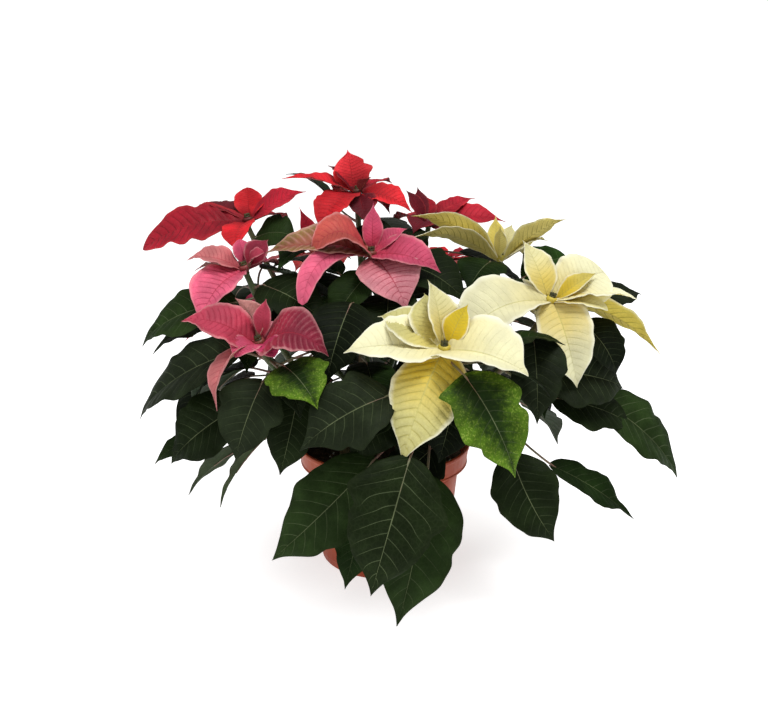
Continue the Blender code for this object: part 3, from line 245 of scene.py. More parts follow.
# A leaf has its base and tip from the middle of the pot's foot, and after where it looks, its place on the stem.
leaves = {
    "pink_3": [
        leaf((-129, -75, 230), (-229, -50, 160), 66, 12, 6, (-4, -5, 10), 0.85, "slate", veins=1.0),
        leaf((-125, -85, 184), (-194, -85, 128), 60, 9, 6, (-4, -10, 8), 0.6, "deep", lobe=0.18),
        leaf((-103, -112, 213), (-125, -138, 151), 56, 8, 6, (-1, -10, 6), 0.75, "slate"),
        leaf((-74, -108, 198), (-89, -128, 134), 44, 7, 8, (2, -10, 4), 0.5, "deep"),
        leaf((-109, -85, 151), (-179, -85, 99), 34, 8, 10, (0, 6, 10), 0.35, "moss", lobe=0.2),
        leaf((-98, -95, 164), (-147, -108, 97), 30, 5, 10, (-10, 3, 5), 0.45, "moss"),
        leaf((-168, -60, 146), (-214, -60, 118), 24, 5, 8, (-2, -6, 10), 0.5, "mid"),
        leaf((-84, -108, 226), (-53, -150, 203), 54, 6, 3, (2, -8, 10), 0.85, "green", mottle=1.0),
    ],
    "pink_1": [
        leaf((-140, -20, 262), (-233, -12, 220), 64, 12, 6, (-2, -5, 10), 0.85, "mid", veins=1.2),
        leaf((-138, 10, 248), (-229, 12, 206), 44, 8, 8, (-2, -4, 10), 0.7, "deep"),
        leaf((-111, -20, 279), (-51, -52, 250), 58, 6, 6, (2, -7, 10), 0.9, "deep"),
        leaf((-92, -20, 262), (-56, -48, 214), 50, 8, 6, (0, -9, 8), 0.7, "night"),
        leaf((-116, 10, 290), (-76, 30, 262), 46, 6, 6, (2, 2, 10), 0.8, "night"),
    ],
    "red_1": [
        leaf((-128, 62, 312), (-88, 50, 315), 48, 6, 6, (1, -8, 10), 0.9, "mid", form="round"),
    ],
    "red_2": [
        leaf((-52, 116, 340), (-103, 122, 371), 40, 8, 6, (0, 0, 10), 0.88, "deep"),
        leaf((-20, 74, 322), (-2, 62, 289), 44, 7, 6, (0, -10, 8), 0.8, "night"),
        leaf((14, 98, 310), (40, 34, 288), 44, 7, 6, (1, -9, 8), 0.7, "deep"),
    ],
    "pink_2": [
        leaf((14, 15, 292), (78, -22, 262), 66, 11, 6, (3, -7, 10), 0.9, "deep"),
        leaf((-16, -28, 290), (-49, -62, 246), 40, 7, 20, (-2, -9, 8), 0.8, "mid"),
        leaf((-30, -56, 268), (-50, -104, 208), 58, 9, 6, (-1, -10, 8), 0.7, "night"),
        leaf((4, -16, 268), (2, -72, 234), 52, 8, 6, (0, -9, 8), 0.75, "deep"),
    ],
    "cream_3": [
        leaf((106, 52, 289), (80, 12, 266), 48, 6, 6, (-1, -6, 10), 0.88, "green"),
        leaf((146, 90, 266), (197, 114, 283), 50, 8, 6, (0, -6, 10), 0.85, "fresh", form="round"),
    ],
    "cream_2": [
        leaf((196, 5, 253), (255, 20, 265), 46, 7, 6, (0, -5, 10), 0.92, "slate"),
        leaf((184, -25, 244), (215, -48, 198), 50, 8, 6, (4, -8, 10), 0.85, "night"),
        leaf((148, -62, 208), (229, -46, 187), 66, 10, 6, (0, -10, 8), 0.7, "slate", veins=1.0),
        leaf((159, -40, 176), (240, -26, 143), 52, 8, 6, (0, -9, 10), 0.55, "deep"),
        leaf((205, -20, 168), (290, -20, 87), 62, 11, 8, (5, -8, 10), 0.65, "mid", lobe=0.14, veins=1.3),
        leaf((133, -60, 239), (133, -100, 171), 52, 8, 8, (0, -10, 7), 0.8, "slate"),
        leaf((157, -60, 116), (237, -60, 62), 36, 5, 10, (-1, -4, 10), 0.35, "green", lobe=0.3),
        leaf((113, -100, 140), (151, -122, 69), 60, 9, 6, (2, -10, 6), 0.45, "deep", sway=7),
    ],
    "cream_1": [
        leaf((66, -152, 229), (106, -176, 152), 62, 11, 6, (2, -10, 8), 0.92, "green", mottle=1.0, spike=0.08),
        leaf(
            (3, -148, 212), (-70, -165, 170), 66, 10, 6, (-2, -9, 10), 0.85, "slate",
            lobe=0.12, veins=1.0, cuts=(-0.55, 0.3),
        ),
        leaf((-10, -130, 148), (-98, -145, 63), 66, 10, 6, (-2, -10, 7), 0.4, "mid", sway=-5, veins=0.9),
        leaf((20, -166, 163), (-11, -198, 59), 76, 10, 4, (0, -10, 6), 0.6, "deep", veins=1.2, shade=0.05),
        leaf((36, -140, 136), (11, -176, 18), 72, 8, 4, (3, -10, 5), 0.35, "mid"),
        leaf((-16, -120, 104), (-34, -142, 34), 38, 6, 8, (0, -10, 5), 0.2, "green"),
        leaf((73, -112, 190), (90, -128, 153), 32, 5, 8, (1, -8, 8), 0.65, "deep"),
        leaf((62, -118, 208), (46, -134, 148), 50, 7, 6, (0, -10, 6), 0.7, "night"),
        leaf((8, -112, 196), (-28, -124, 146), 50, 7, 6, (-1, -10, 6), 0.55, "deep"),
        leaf((46, -108, 156), (0, -122, 114), 48, 6, 6, (-1, -10, 5), 0.45, "night"),
    ],
}

# where everything grows, found by the same search as the frame's, so that each piece lies on its node
habit = dict(
    seed=8, gap=0.3 * mm, clearance=0.0009,
    trunks={"red": (-0.010, 0.036), "pink": (-0.038, -0.022), "cream": (0.037, -0.018)},
    trunkRadius=0.0055, trunkDepth=0.030, trunkTop=0.150,
    stubTop=0.145, stubStep=0.0075, stubOrder=(1, 2, 0, 3, 4), stubReach=0.010, stubRadius=0.0034,
    stemRadius=0.0030, neckLength=0.010, stalkHalfWidth=0.0013,
    heartRadius=0.0085, heartFoot=0.006, heartBelow=0.006, heartAbove=0.002, seatLow=-0.0045, seatHigh=0.0012,
    cupHeight=0.0042, bractThickness=0.0008, leafThickness=0.0010, bractInside=0.75,
    bow=0.62, bowHeight=0.42, spring=0.25, stops=(0.36, 0.7), rimBelow=0.001, rimStep=0.011, rimTube=0.002,
)
tooth = dict(peak=0.58, width=0.16, bay=0.78, bayWidth=0.1)
forms = {
    "bract": (0.42, 1.1), "leaf": (0.36, 0.62), "round": (0.52, 0.72), "slim": (0.45, 1.0), "heart": (0.36, 0.5),
    "spoon": (0.64, 0.9), "ribbon": (0.5, 0.34),
}
coarseRows = {2: (0, 0.42, 1), 3: (0, 0.3, 0.65, 1), 4: (0, 0.2, 0.46, 0.76, 1), 5: (0, 0.14, 0.36, 0.58, 0.8, 1)}
filling = dict(
    counts=dict(
        red_1=8, red_2=7, red_3=7, red_4=6, red_5=5, pink_1=6, pink_2=7, pink_3=4, pink_4=6,
        cream_1=6, cream_2=6, cream_3=7, cream_4=4,
    ),
    turn=2.39996, length=0.088, ratio=0.62, stalk=0.042,
    sizes=(1, 0.85, 0.72, 0.6), turns=(0, 0.25, -0.25, 0.5, -0.5, 0.8, -0.8, 1.2, -1.2),
    dips=(0, -0.2, 0.2, -0.4, -0.65),
    slips=(0, -0.005, 0.005, -0.010, 0.010, -0.015, 0.015, -0.022, 0.022, -0.03, 0.03),
    slipAxis=Vector((0, 0.963, -0.269)), rootShifts=(0, -0.08, 0.08, -0.16, -0.24, -0.32), rootEnds=(0.04, 0.97),
    baseSlip=0.7, first=0.9, spacing=0.11, stray=0.04, jog=0.3, swing=0.75, lengths=(0.85, 1.15),
    level=0.30, sink=0.16, climb=0.25, hang=0.35, overRim=0.004, rise=0.1, fold=7, tilt=0.5,
)
crown = dict(x=0.015, y=0.03, reach=0.235, slope=0.45, frontLow=0.165, backLow=0.05)
pot = dict(
    height=0.120, rimRadius=0.085, rimDrop=0.020, neckRadius=0.0745, footRadius=0.063, wall=0.0018, floor=0.003,
    holeRadius=0.006, holeRing=0.040, holes=6, soilTop=0.104, soilCrown=0.003, steps=96,
)


def bend(a, b, c, s):  # a curve from a to c, drawn towards b
    return (1 - s) ** 2 * a + 2 * s * (1 - s) * b + s * s * c


def onRing(angle, radius, height=0.0):
    return Vector((radius * math.cos(angle), radius * math.sin(angle), height))


def acrossTo(blade, along):
    side = (blade["side"] - along * blade["side"].dot(along)).normalized()
    return side, side.cross(along)


def makeBlade(base, row, thickness):
    tip = row["tip"]
    chord = (tip - base).normalized()
    face = Vector(row["face"])
    normal = (face - chord * face.dot(chord)).normalized()
    side = chord.cross(normal)
    bulge = 2 * mm * (normal * row["rise"] + side * row["sway"])
    return dict(
        base=base, tip=tip, control=(base + tip) / 2 + bulge, side=side, half=row["width"] * mm / 2,
        fold=math.radians(row["fold"]), form=row["form"], lobe=row.get("lobe", 0), rows=coarseRows[row["rows"]],
        thickness=thickness, look=row,
    )


def halfWidth(blade, s, lobe):
    peak, fullness = forms[blade["form"]]
    if s >= 1:
        return 0.0
    taper = fullness * (1 - peak) / peak
    wide = blade["half"] * (s / peak) ** fullness * ((1 - s) / (1 - peak)) ** taper
    out = max(0.0, 1 - abs(s - tooth["peak"]) / tooth["width"])
    back = max(0.0, 1 - abs(s - tooth["bay"]) / tooth["bayWidth"])
    return wide * (1 + lobe * (out - back))


def surfaceAt(blade, s, t):
    base, control, tip = blade["base"], blade["control"], blade["tip"]
    along = ((1 - s) * (control - base) + s * (tip - control)).normalized()
    side, normal = acrossTo(blade, along)
    lobe = blade["lobe"] if blade["thickness"] == habit["leafThickness"] else 0
    reach = halfWidth(blade, s, lobe)
    spread = side * (t * math.cos(blade["fold"])) + normal * (abs(t) * math.sin(blade["fold"]))
    return bend(base, control, tip, s) + spread * reach, normal


def coarsePoints(blade):
    rows = [[surfaceAt(blade, s, t) for t in (-1, 0, 1)] for s in blade["rows"][1:]]
    if "root" not in blade:
        return [[surfaceAt(blade, 0, 0)] * 3] + rows
    side, normal = acrossTo(blade, (blade["base"] - blade["root"]).normalized())
    for foot in (blade["base"], blade["root"]):
        rows.insert(0, [(foot + side * (t * habit["stalkHalfWidth"]), normal) for t in (-1, -1, 1)])
    return rows


def hullOf(blade):  # a shell a little thicker than the blade, to test what it would touch
    reach = blade["thickness"] / 2 + habit["clearance"]
    rows = coarsePoints(blade)
    layer = 3 * len(rows)
    points = [point + normal * side for side in (reach, -reach) for row in rows for point, normal in row]
    faces = []
    for i in range(len(rows) - 1):
        for j in range(2):
            a = 3 * i + j
            faces += [(a, a + 1, a + 4), (a, a + 4, a + 3)]
            faces += [(a + layer, a + 1 + layer, a + 4 + layer), (a + layer, a + 4 + layer, a + 3 + layer)]
        for a in (3 * i, 3 * i + 2):
            faces.append((a, a + 3, a + 3 + layer, a + layer))
    return points, faces


def hullOfTube(points, radius):
    reach = radius + habit["clearance"]
    verts, faces = [], []
    for turn in range(3):
        angle = turn * math.pi / 3
        across = Vector((math.cos(angle), math.sin(angle), 0.3)) * reach
        start = len(verts)
        for point in points:
            verts += [point - across, point + across]
        for i in range(start, start + 2 * len(points) - 2, 2):
            faces.append((i, i + 1, i + 3, i + 2))
    return verts, faces


class Placed:  # what has its place so far, each with its box and the node it belongs to
    def __init__(self):
        self.shapes = []

    def add(self, node, hull):
        points = np.array([tuple(p) for p in hull[0]])
        self.shapes.append((node, points.min(0), points.max(0), BVHTree.FromPolygons(*hull)))

    def hits(self, node, hull):
        points = np.array([tuple(p) for p in hull[0]])
        low, high = points.min(0), points.max(0)
        tree = None
        for other, lowest, highest, shape in self.shapes:
            if other == node or (low > highest).any() or (high < lowest).any():
                continue
            tree = tree or BVHTree.FromPolygons(*hull)
            if tree.overlap(shape):
                return other
        return None


def stemPath(bloom):
    x, y = habit["trunks"][bloom["plant"]]
    top = bloom["heart"] - bloom["lean"] * (habit["heartBelow"] + habit["gap"])
    neck = top - bloom["lean"] * habit["neckLength"]
    out = Vector((neck.x - x, neck.y - y, 0))
    reach = out.length
    out.normalize()
    slope = (out + Vector((0, 0, 1.0))).normalized()
    foot = Vector((x, y, bloom["root"]))
    start = foot + slope * (habit["stubReach"] + habit["gap"])
    control = foot + out * reach * habit["bow"] + Vector((0, 0, (neck.z - foot.z) * habit["bowHeight"]))
    near = start + slope * (reach * habit["spring"])
    points = [start, start + slope * habit["neckLength"]]
    for s in habit["stops"]:
        place = (1 - s) ** 3 * start + 3 * s * (1 - s) ** 2 * near + 3 * s * s * (1 - s) * control
        points.append(place + s**3 * neck)
    return points + [neck, top], foot, slope


def alongPath(points, u):
    lengths = [0]
    for a, b in zip(points, points[1:]):
        lengths.append(lengths[-1] + (b - a).length)
    want = u * lengths[-1]
    for i in range(1, len(points)):
        if lengths[i] >= want:
            return points[i - 1].lerp(points[i], (want - lengths[i - 1]) / (lengths[i] - lengths[i - 1]))
    return points[-1]


def bractBlades(bloom, rows):  # the steeper bracts sit higher on the heart
    heart, lean = bloom["heart"], bloom["lean"]
    reaches = [Vector(row["tip"]) * mm for row in rows]
    steep = sorted(range(len(rows)), key=lambda i: reaches[i].normalized().dot(lean))
    blades = []
    for i, row in enumerate(rows):
        out = reaches[i] - lean * reaches[i].dot(lean)
        seat = habit["seatLow"] + (habit["seatHigh"] - habit["seatLow"]) * steep.index(i) / (len(rows) - 1)
        widened = (seat + habit["heartBelow"]) / (habit["heartAbove"] + habit["heartBelow"])
        inside = habit["heartFoot"] + (habit["heartRadius"] - habit["heartFoot"]) * widened
        base = heart + out.normalized() * (habit["bractInside"] * inside) + lean * seat
        blades.append(makeBlade(base, dict(row, tip=heart + reaches[i]), habit["bractThickness"]))
    return blades


def leafBlade(row, slip):
    shift = filling["slipAxis"] * slip
    base = Vector(row["base"]) * mm + shift * filling["baseSlip"]
    return makeBlade(base, dict(row, tip=Vector(row["tip"]) * mm + shift), habit["leafThickness"])


def fillPlace(path, count, chance):
    root = alongPath(path, filling["first"] - filling["spacing"] * count - chance.uniform(0, filling["stray"]))
    outward = math.atan2(path[-1].y - path[0].y, path[-1].x - path[0].x)
    jog = chance.uniform(-filling["jog"], filling["jog"])
    swing = (count * filling["turn"] + jog + math.pi) % (2 * math.pi) - math.pi
    return root, outward + filling["swing"] * swing, filling["length"] * chance.uniform(*filling["lengths"])


def settleLeaf(bloom, row, placed):
    lowest, highest = filling["rootEnds"]
    for slip, shift in itertools.product(filling["slips"], filling["rootShifts"]):
        blade = leafBlade(row, slip)
        blade["root"] = alongPath(bloom["path"], min(highest, max(lowest, row["at"] + shift)))
        hull = hullOf(blade)
        if not placed.hits("stem_" + bloom["name"], hull):
            return blade, hull
    return None


def outsideCrown(tip):
    reach = math.hypot(tip.x - crown["x"], tip.y - crown["y"])
    lowest = crown["frontLow"] if tip.y < 0 else crown["backLow"]
    return reach > crown["reach"] - crown["slope"] * max(0.0, tip.z - pot["height"]) or tip.z < lowest


def fillRow(out, base, tip):
    length = (tip - base).length / mm
    return dict(
        tip=tip, width=length * filling["ratio"], rise=length * filling["rise"], fold=filling["fold"],
        face=out * filling["tilt"] + Vector((0, 0, 1)), sway=0, form="leaf", rows=3,
    )


def settleFill(bloom, count, chance, placed):
    root, heading, length = fillPlace(bloom["path"], count, chance)
    for size, turn, dip in itertools.product(filling["sizes"], filling["turns"], filling["dips"]):
        level = filling["level"] - filling["sink"] * count + dip
        out = onRing(heading + turn, 1)
        base = root + (out + Vector((0, 0, level + filling["climb"]))).normalized() * (filling["stalk"] * size)
        tip = base + (out + Vector((0, 0, level - filling["hang"]))).normalized() * (length * size)
        if base.z < pot["height"] + filling["overRim"] or outsideCrown(tip):
            continue
        blade = makeBlade(base, fillRow(out, base, tip), habit["leafThickness"])
        bare = hullOf(blade)
        blade["root"] = root
        hull = hullOf(blade)
        if not placed.hits("stem_" + bloom["name"], hull) and not placed.hits(None, bare):
            return blade, hull
    return None


def layOut():
    placed = Placed()
    chance = random.Random(habit["seed"])
    angles = [i * math.pi / 8 for i in range(17)]
    ring = [onRing(angle, pot["rimRadius"], pot["height"] - habit["rimBelow"]) for angle in angles]
    placed.add("pot", hullOfTube(ring, habit["rimTube"]))
    placed.add("pot", hullOfTube([p - Vector((0, 0, habit["rimStep"])) for p in ring], habit["rimTube"]))
    lid = [Vector((0, 0, pot["soilTop"] + pot["soilCrown"] + habit["rimTube"]))] + ring
    placed.add("soil", (lid, [(0, i, i + 1) for i in range(1, len(ring))]))
    for plant, (x, y) in habit["trunks"].items():
        bole = [Vector((x, y, z)) for z in (pot["soilTop"], habit["trunkTop"])]
        placed.add("trunk_" + plant, hullOfTube(bole, habit["trunkRadius"]))
    grown = []
    for name, row in blooms.items():
        plant, number = name.split("_")
        bloom = dict(name=name, plant=plant, heart=Vector(row["heart"]) * mm, lean=Vector(row["lean"]).normalized())
        bloom["leaves"] = []
        bloom["root"] = habit["stubTop"] - habit["stubStep"] * habit["stubOrder"][int(number) - 1]
        bloom["path"], bloom["foot"], bloom["slope"] = stemPath(bloom)
        bloom["bracts"] = bractBlades(bloom, row["bracts"])
        placed.add("stem_" + name, hullOfTube(bloom["path"], habit["stemRadius"]))
        grown.append(bloom)
    for bloom in grown:
        node = "bloom_" + bloom["name"]
        ends = (-habit["heartBelow"], habit["heartAbove"] + habit["cupHeight"])
        low, high = (bloom["heart"] + bloom["lean"] * end for end in ends)
        placed.add(node, hullOfTube([low, high], habit["heartRadius"]))
        for blade in bloom["bracts"]:
            placed.add(node, hullOf(blade))
    for bloom in grown:
        for row in leaves.get(bloom["name"], ()):
            settled = settleLeaf(bloom, row, placed)
            if settled:
                bloom["leaves"].append(settled[0])
                placed.add("stem_" + bloom["name"], settled[1])
    for bloom in grown:
        for count in range(filling["counts"][bloom["name"]]):
            settled = settleFill(bloom, count, chance, placed)
            if settled:
                bloom["leaves"].append(settled[0])
                placed.add("stem_" + bloom["name"], settled[1])
    return grown


class Finish:  # a Principled material, with short ways to add its nodes
    def __init__(self, name, roughness, specular=0.5):
        self.material = bpy.data.materials.new(name)
        self.material.use_nodes = True
        self.tree = self.material.node_tree
        self.shader = self.tree.nodes["Principled BSDF"]
        self.set("Roughness", roughness)
        self.set("Specular IOR Level", specular)

    def set(self, socket, value):
        self.feed(self.shader.inputs[socket], value)

    def feed(self, socket, value):
        if isinstance(value, bpy.types.NodeSocket):
            self.tree.links.new(value, socket)
        elif isinstance(value, tuple) and socket.type == "RGBA":
            socket.default_value = (*value, 1)
        else:
            socket.default_value = value

    def node(self, kind, **settings):
        made = self.tree.nodes.new(kind)
        for key, value in settings.items():
            setattr(made, key, value)
        return made

    def math(self, operation, a, b=0.0, c=0.0, clamp=False):
        made = self.node("ShaderNodeMath", operation=operation, use_clamp=clamp)
        for socket, value in zip(made.inputs, (a, b, c)):
            self.feed(socket, value)
        return made.outputs[0]

    def times(self, a, b):
        return self.math("MULTIPLY", a, b)

    def plus(self, a, b):
        return self.math("ADD", a, b)

    def minus(self, a, b):
        return self.math("SUBTRACT", a, b)

    def step(self, value, low, high, start=0.0, end=1.0):  # a soft step from start to end
        made = self.node("ShaderNodeMapRange", interpolation_type="SMOOTHSTEP")
        for socket, given in zip(made.inputs, (value, low, high, start, end)):
            self.feed(socket, given)
        return made.outputs[0]

    def mix(self, amount, a, b, blend="MIX"):
        made = self.node("ShaderNodeMix", data_type="RGBA", blend_type=blend)
        for index, value in ((0, amount), (6, a), (7, b)):
            self.feed(made.inputs[index], value)
        return made.outputs[2]

    def noise(self, scale, detail=3.0, roughness=0.55, vector=None):
        made = self.node("ShaderNodeTexNoise")
        self.feed(made.inputs["Vector"], vector or self.place())
        for socket, value in (("Scale", scale), ("Detail", detail), ("Roughness", roughness)):
            self.feed(made.inputs[socket], value)
        return made.outputs[0]

    def cells(self, scale, vector=None, feature="DISTANCE_TO_EDGE"):
        made = self.node("ShaderNodeTexVoronoi", feature=feature)
        self.feed(made.inputs["Vector"], vector or self.place())
        self.feed(made.inputs["Scale"], scale)
        return made.outputs["Distance"]

    def place(self):
        return self.node("ShaderNodeTexCoord").outputs["Object"]

    def stretched(self, vector, scale):
        made = self.node("ShaderNodeMapping")
        self.feed(made.inputs["Vector"], vector)
        made.inputs["Scale"].default_value = scale
        return made.outputs[0]

    def attribute(self, name):
        return self.node("ShaderNodeAttribute", attribute_name=name)

    def split(self, vector):
        made = self.node("ShaderNodeSeparateXYZ")
        self.feed(made.inputs[0], vector)
        return made.outputs

    def bump(self, height, strength, distance):
        made = self.node("ShaderNodeBump")
        made.inputs["Strength"].default_value = strength
        made.inputs["Distance"].default_value = distance
        self.feed(made.inputs["Height"], height)
        self.feed(self.shader.inputs["Normal"], made.outputs[0])


veining = dict(  # lateral veins, for the shapes and the colours alike
    bract=dict(count=13.0, arch=0.17, bend=1.35, offset=0.35, wide=0.14, narrow=0.05),
    leaf=dict(count=10.0, arch=0.22, bend=1.3, offset=0.35, wide=0.060, narrow=0.025),
)

bladeLooks = dict(  # a colour and how strongly it shows; a midrib has its width too
    redTop=dict(
        vein=((0.20, 0.004, 0.012), 0.75), rib=((0.50, 0.03, 0.03), 0.4, 0.05), edge=((0.72, 0.06, 0.05), 0.3),
        base=((0.16, 0.003, 0.010), 0.5), tone=0.4, roughness=0.55, bump=0.8,
    ),
    redUnder=dict(
        wash=((0.36, 0.05, 0.05), 0.4), vein=((0.56, 0.16, 0.12), 0.5), rib=((0.62, 0.24, 0.14), 0.8, 0.06),
        edge=((0.66, 0.08, 0.07), 0.2), base=((0.26, 0.04, 0.03), 0.4), tone=0.3, roughness=0.65, bump=0.8,
    ),
    pinkTop=dict(
        vein=((0.42, 0.012, 0.050), 0.75), rib=((0.50, 0.03, 0.06), 0.8, 0.05),
        edge=((0.86, 0.42, 0.42), 0.45), base=((0.56, 0.03, 0.06), 0.55), tone=0.35, roughness=0.55, bump=0.8,
    ),
    pinkUnder=dict(
        wash=((0.56, 0.27, 0.20), 0.6), vein=((0.74, 0.44, 0.34), 0.7), rib=((0.62, 0.40, 0.24), 0.8, 0.06),
        edge=((0.84, 0.50, 0.44), 0.4), base=((0.40, 0.28, 0.10), 0.5), tone=0.35, roughness=0.65, bump=0.8,
    ),
    creamTop=dict(
        vein=((0.50, 0.44, 0.10), 0.55), rib=((0.60, 0.56, 0.18), 0.6, 0.05), edge=((0.96, 0.95, 0.78), 0.7),
        base=((0.74, 0.56, 0.04), 0.25), tone=0.14, roughness=0.52, bump=0.8,
    ),
    # the cream underside's yellow wash is partly the bract's own colour and partly painted light shining through
    # the bract
    creamUnder=dict(
        wash=((0.92, 0.74, 0.100), 0.6), vein=((0.34, 0.25, 0.012), 0.75), rib=((0.50, 0.40, 0.04), 0.6, 0.06),
        edge=((0.94, 0.88, 0.50), 0.8), base=((0.46, 0.36, 0.02), 0.3), tone=0.2, roughness=0.65, bump=0.8,
    ),
    leafTop=dict(
        vein=((0.115, 0.150, 0.070), 0.65), rib=((0.22, 0.26, 0.13), 0.9, 0.024),
        edge=((0.02, 0.03, 0.01), 0.3), base=((0.02, 0.03, 0.01), 0.1), tone=0.45, roughness=0.50, bump=0.7,
        shine=0.04, sheen=0.0, net=0.04,
    ),
    leafUnder=dict(
        wash=((0.036, 0.062, 0.028), 0.7), vein=((0.08, 0.11, 0.06), 0.6),
        rib=((0.18, 0.22, 0.11), 0.9, 0.045), edge=((0.05, 0.08, 0.04), 0.3), base=((0.06, 0.08, 0.03), 0.3),
        tone=0.35, roughness=0.68, bump=0.7, shine=0.2, sheen=0.0,
    ),
)
bladePaint = dict(  # a soft step has its two ends, and then its value at each
    veinEase=(0.4, 1.0, 1.0, 0.4), veinEnd=(0.97, 0.6), ribTip=0.016,
    net=(16, 26, 1), netLine=(0.0, 0.16, 1.0, 0.0), netAmount=0.16, cloud=45.0, fine=240.0, grain=900.0,
    base=(0.0, 0.55, 1.0, 0.0),
    gold=(0.76, 0.53, 0.022), goldReach=(0.18, 0.72, 1.0, 0.0), goldCloud=(0.25, 0.7, 0.65, 1.0),
    mottle=(0.130, 0.260, 0.016), mottleEdge=0.45, mottleTip=0.30, mottleCloud=0.35, mottleStep=(0.33, 0.88),
    speck=(0.36, 0.48, 0.080), speckScale=620.0, speckStep=(0.52, 0.66), speckAmount=0.7,
    margin=(0.80, 1.0), ridge=(0.28, 0.47), ridgeStart=(0.05, 0.3), shade=(0.1, 0.75, 1.0, 0.0), tone=(0.35, 0.75),
    veinRelief=-0.6, netRelief=-0.25, grainRelief=0.3, ribRelief=-0.8, depth=0.5 * mm,
)


def bladeFinish(name, look):
    made = Finish(name, look["roughness"], look.get("shine", 0.18))
    pattern, paint = veining["leaf" if name.startswith("leaf") else "bract"], bladePaint
    flat = made.node("ShaderNodeTexCoord").outputs["UV"]
    across, length, _ = made.split(flat)
    signed = made.math("MULTIPLY_ADD", across, 2.0, -1.0)
    edge, right = made.math("ABSOLUTE", signed), made.math("GREATER_THAN", signed, 0.0)
    marks = made.attribute("marks")
    gold, mottle, shade = made.node("ShaderNodeSeparateColor").outputs[:3]
    made.feed(gold.node.inputs[0], marks.outputs["Color"])
    strength = marks.outputs["Alpha"]
    # the lateral veins leave the midrib and arch towards the tip
    climb = made.times(made.math("POWER", edge, pattern["bend"]), pattern["arch"])
    climb = made.times(climb, made.step(length, *paint["veinEase"]))
    phase = made.times(made.minus(length, climb), pattern["count"])
    phase = made.math("MULTIPLY_ADD", right, pattern["offset"], phase)
    off = made.math("ABSOLUTE", made.minus(made.math("FRACT", phase), 0.5))
    thin = made.step(edge, 0.0, 1.0, pattern["wide"], pattern["narrow"])
    lateral = made.times(made.minus(1.0, made.step(off, 0.0, thin)), made.step(edge, *paint["veinEnd"]))
    rib = made.minus(1.0, made.step(edge, 0.0, made.step(length, 0.0, 1.0, look["rib"][2], paint["ribTip"])))
    mesh = made.step(made.cells(1.0, made.stretched(flat, paint["net"])), *paint["netLine"])
    cloud, fine = made.noise(paint["cloud"]), made.noise(paint["fine"])

    def over(colour, look, amount):
        return made.mix(made.times(amount, look[1]), colour, look[0])

    colour = made.attribute("tint").outputs["Color"]
    if "wash" in look:
        colour = made.mix(look["wash"][1], colour, look["wash"][0])
    colour = over(colour, look["base"], made.step(length, *paint["base"]))
    golden = made.times(made.step(length, *paint["goldReach"]), made.step(cloud, *paint["goldCloud"]))
    colour = made.mix(made.times(golden, gold), colour, paint["gold"])
    patch = made.plus(made.times(edge, paint["mottleEdge"]), made.times(length, paint["mottleTip"]))
    patch = made.plus(patch, made.times(fine, paint["mottleCloud"]))
    patch = made.times(made.step(patch, *paint["mottleStep"]), mottle)
    colour = made.mix(patch, colour, paint["mottle"])
    specks = made.step(made.noise(paint["speckScale"], 2.0), *paint["speckStep"])
    colour = over(colour, (paint["speck"], paint["speckAmount"]), made.times(specks, patch))
    colour = over(colour, look["edge"], made.step(edge, *paint["margin"]))
    # a strength below 0 asks for pale ridges between the veins
    ridge = made.times(made.step(off, *paint["ridge"]), made.step(edge, *paint["ridgeStart"]))
    ridge = made.math("MULTIPLY", made.times(ridge, strength), -1.0, clamp=True)
    colour = made.mix(ridge, colour, look["edge"][0])
    strength = made.math("ABSOLUTE", strength)
    colour = over(colour, look["vein"], made.times(lateral, strength))
    colour = over(colour, (look["vein"][0], look.get("net", paint["netAmount"])), made.times(mesh, strength))
    colour = over(colour, look["rib"], rib)
    dark = made.times(made.step(length, *paint["shade"]), shade)
    dark = made.plus(dark, made.step(cloud, *paint["tone"], look["tone"], 0.0))
    keep = made.math("SUBTRACT", 1.0, dark, clamp=True)
    grey = made.node("ShaderNodeCombineXYZ")
    for socket in grey.inputs:
        made.feed(socket, keep)
    made.set("Base Color", made.mix(1.0, colour, grey.outputs[0], "MULTIPLY"))
    made.set("Sheen Weight", look.get("sheen", 0.02))
    height = made.plus(made.times(lateral, paint["veinRelief"]), made.times(mesh, paint["netRelief"]))
    height = made.plus(height, made.times(made.noise(paint["grain"], 2.0), paint["grainRelief"]))
    made.bump(made.plus(height, made.times(rib, paint["ribRelief"])), look["bump"], paint["depth"])
    return made.material


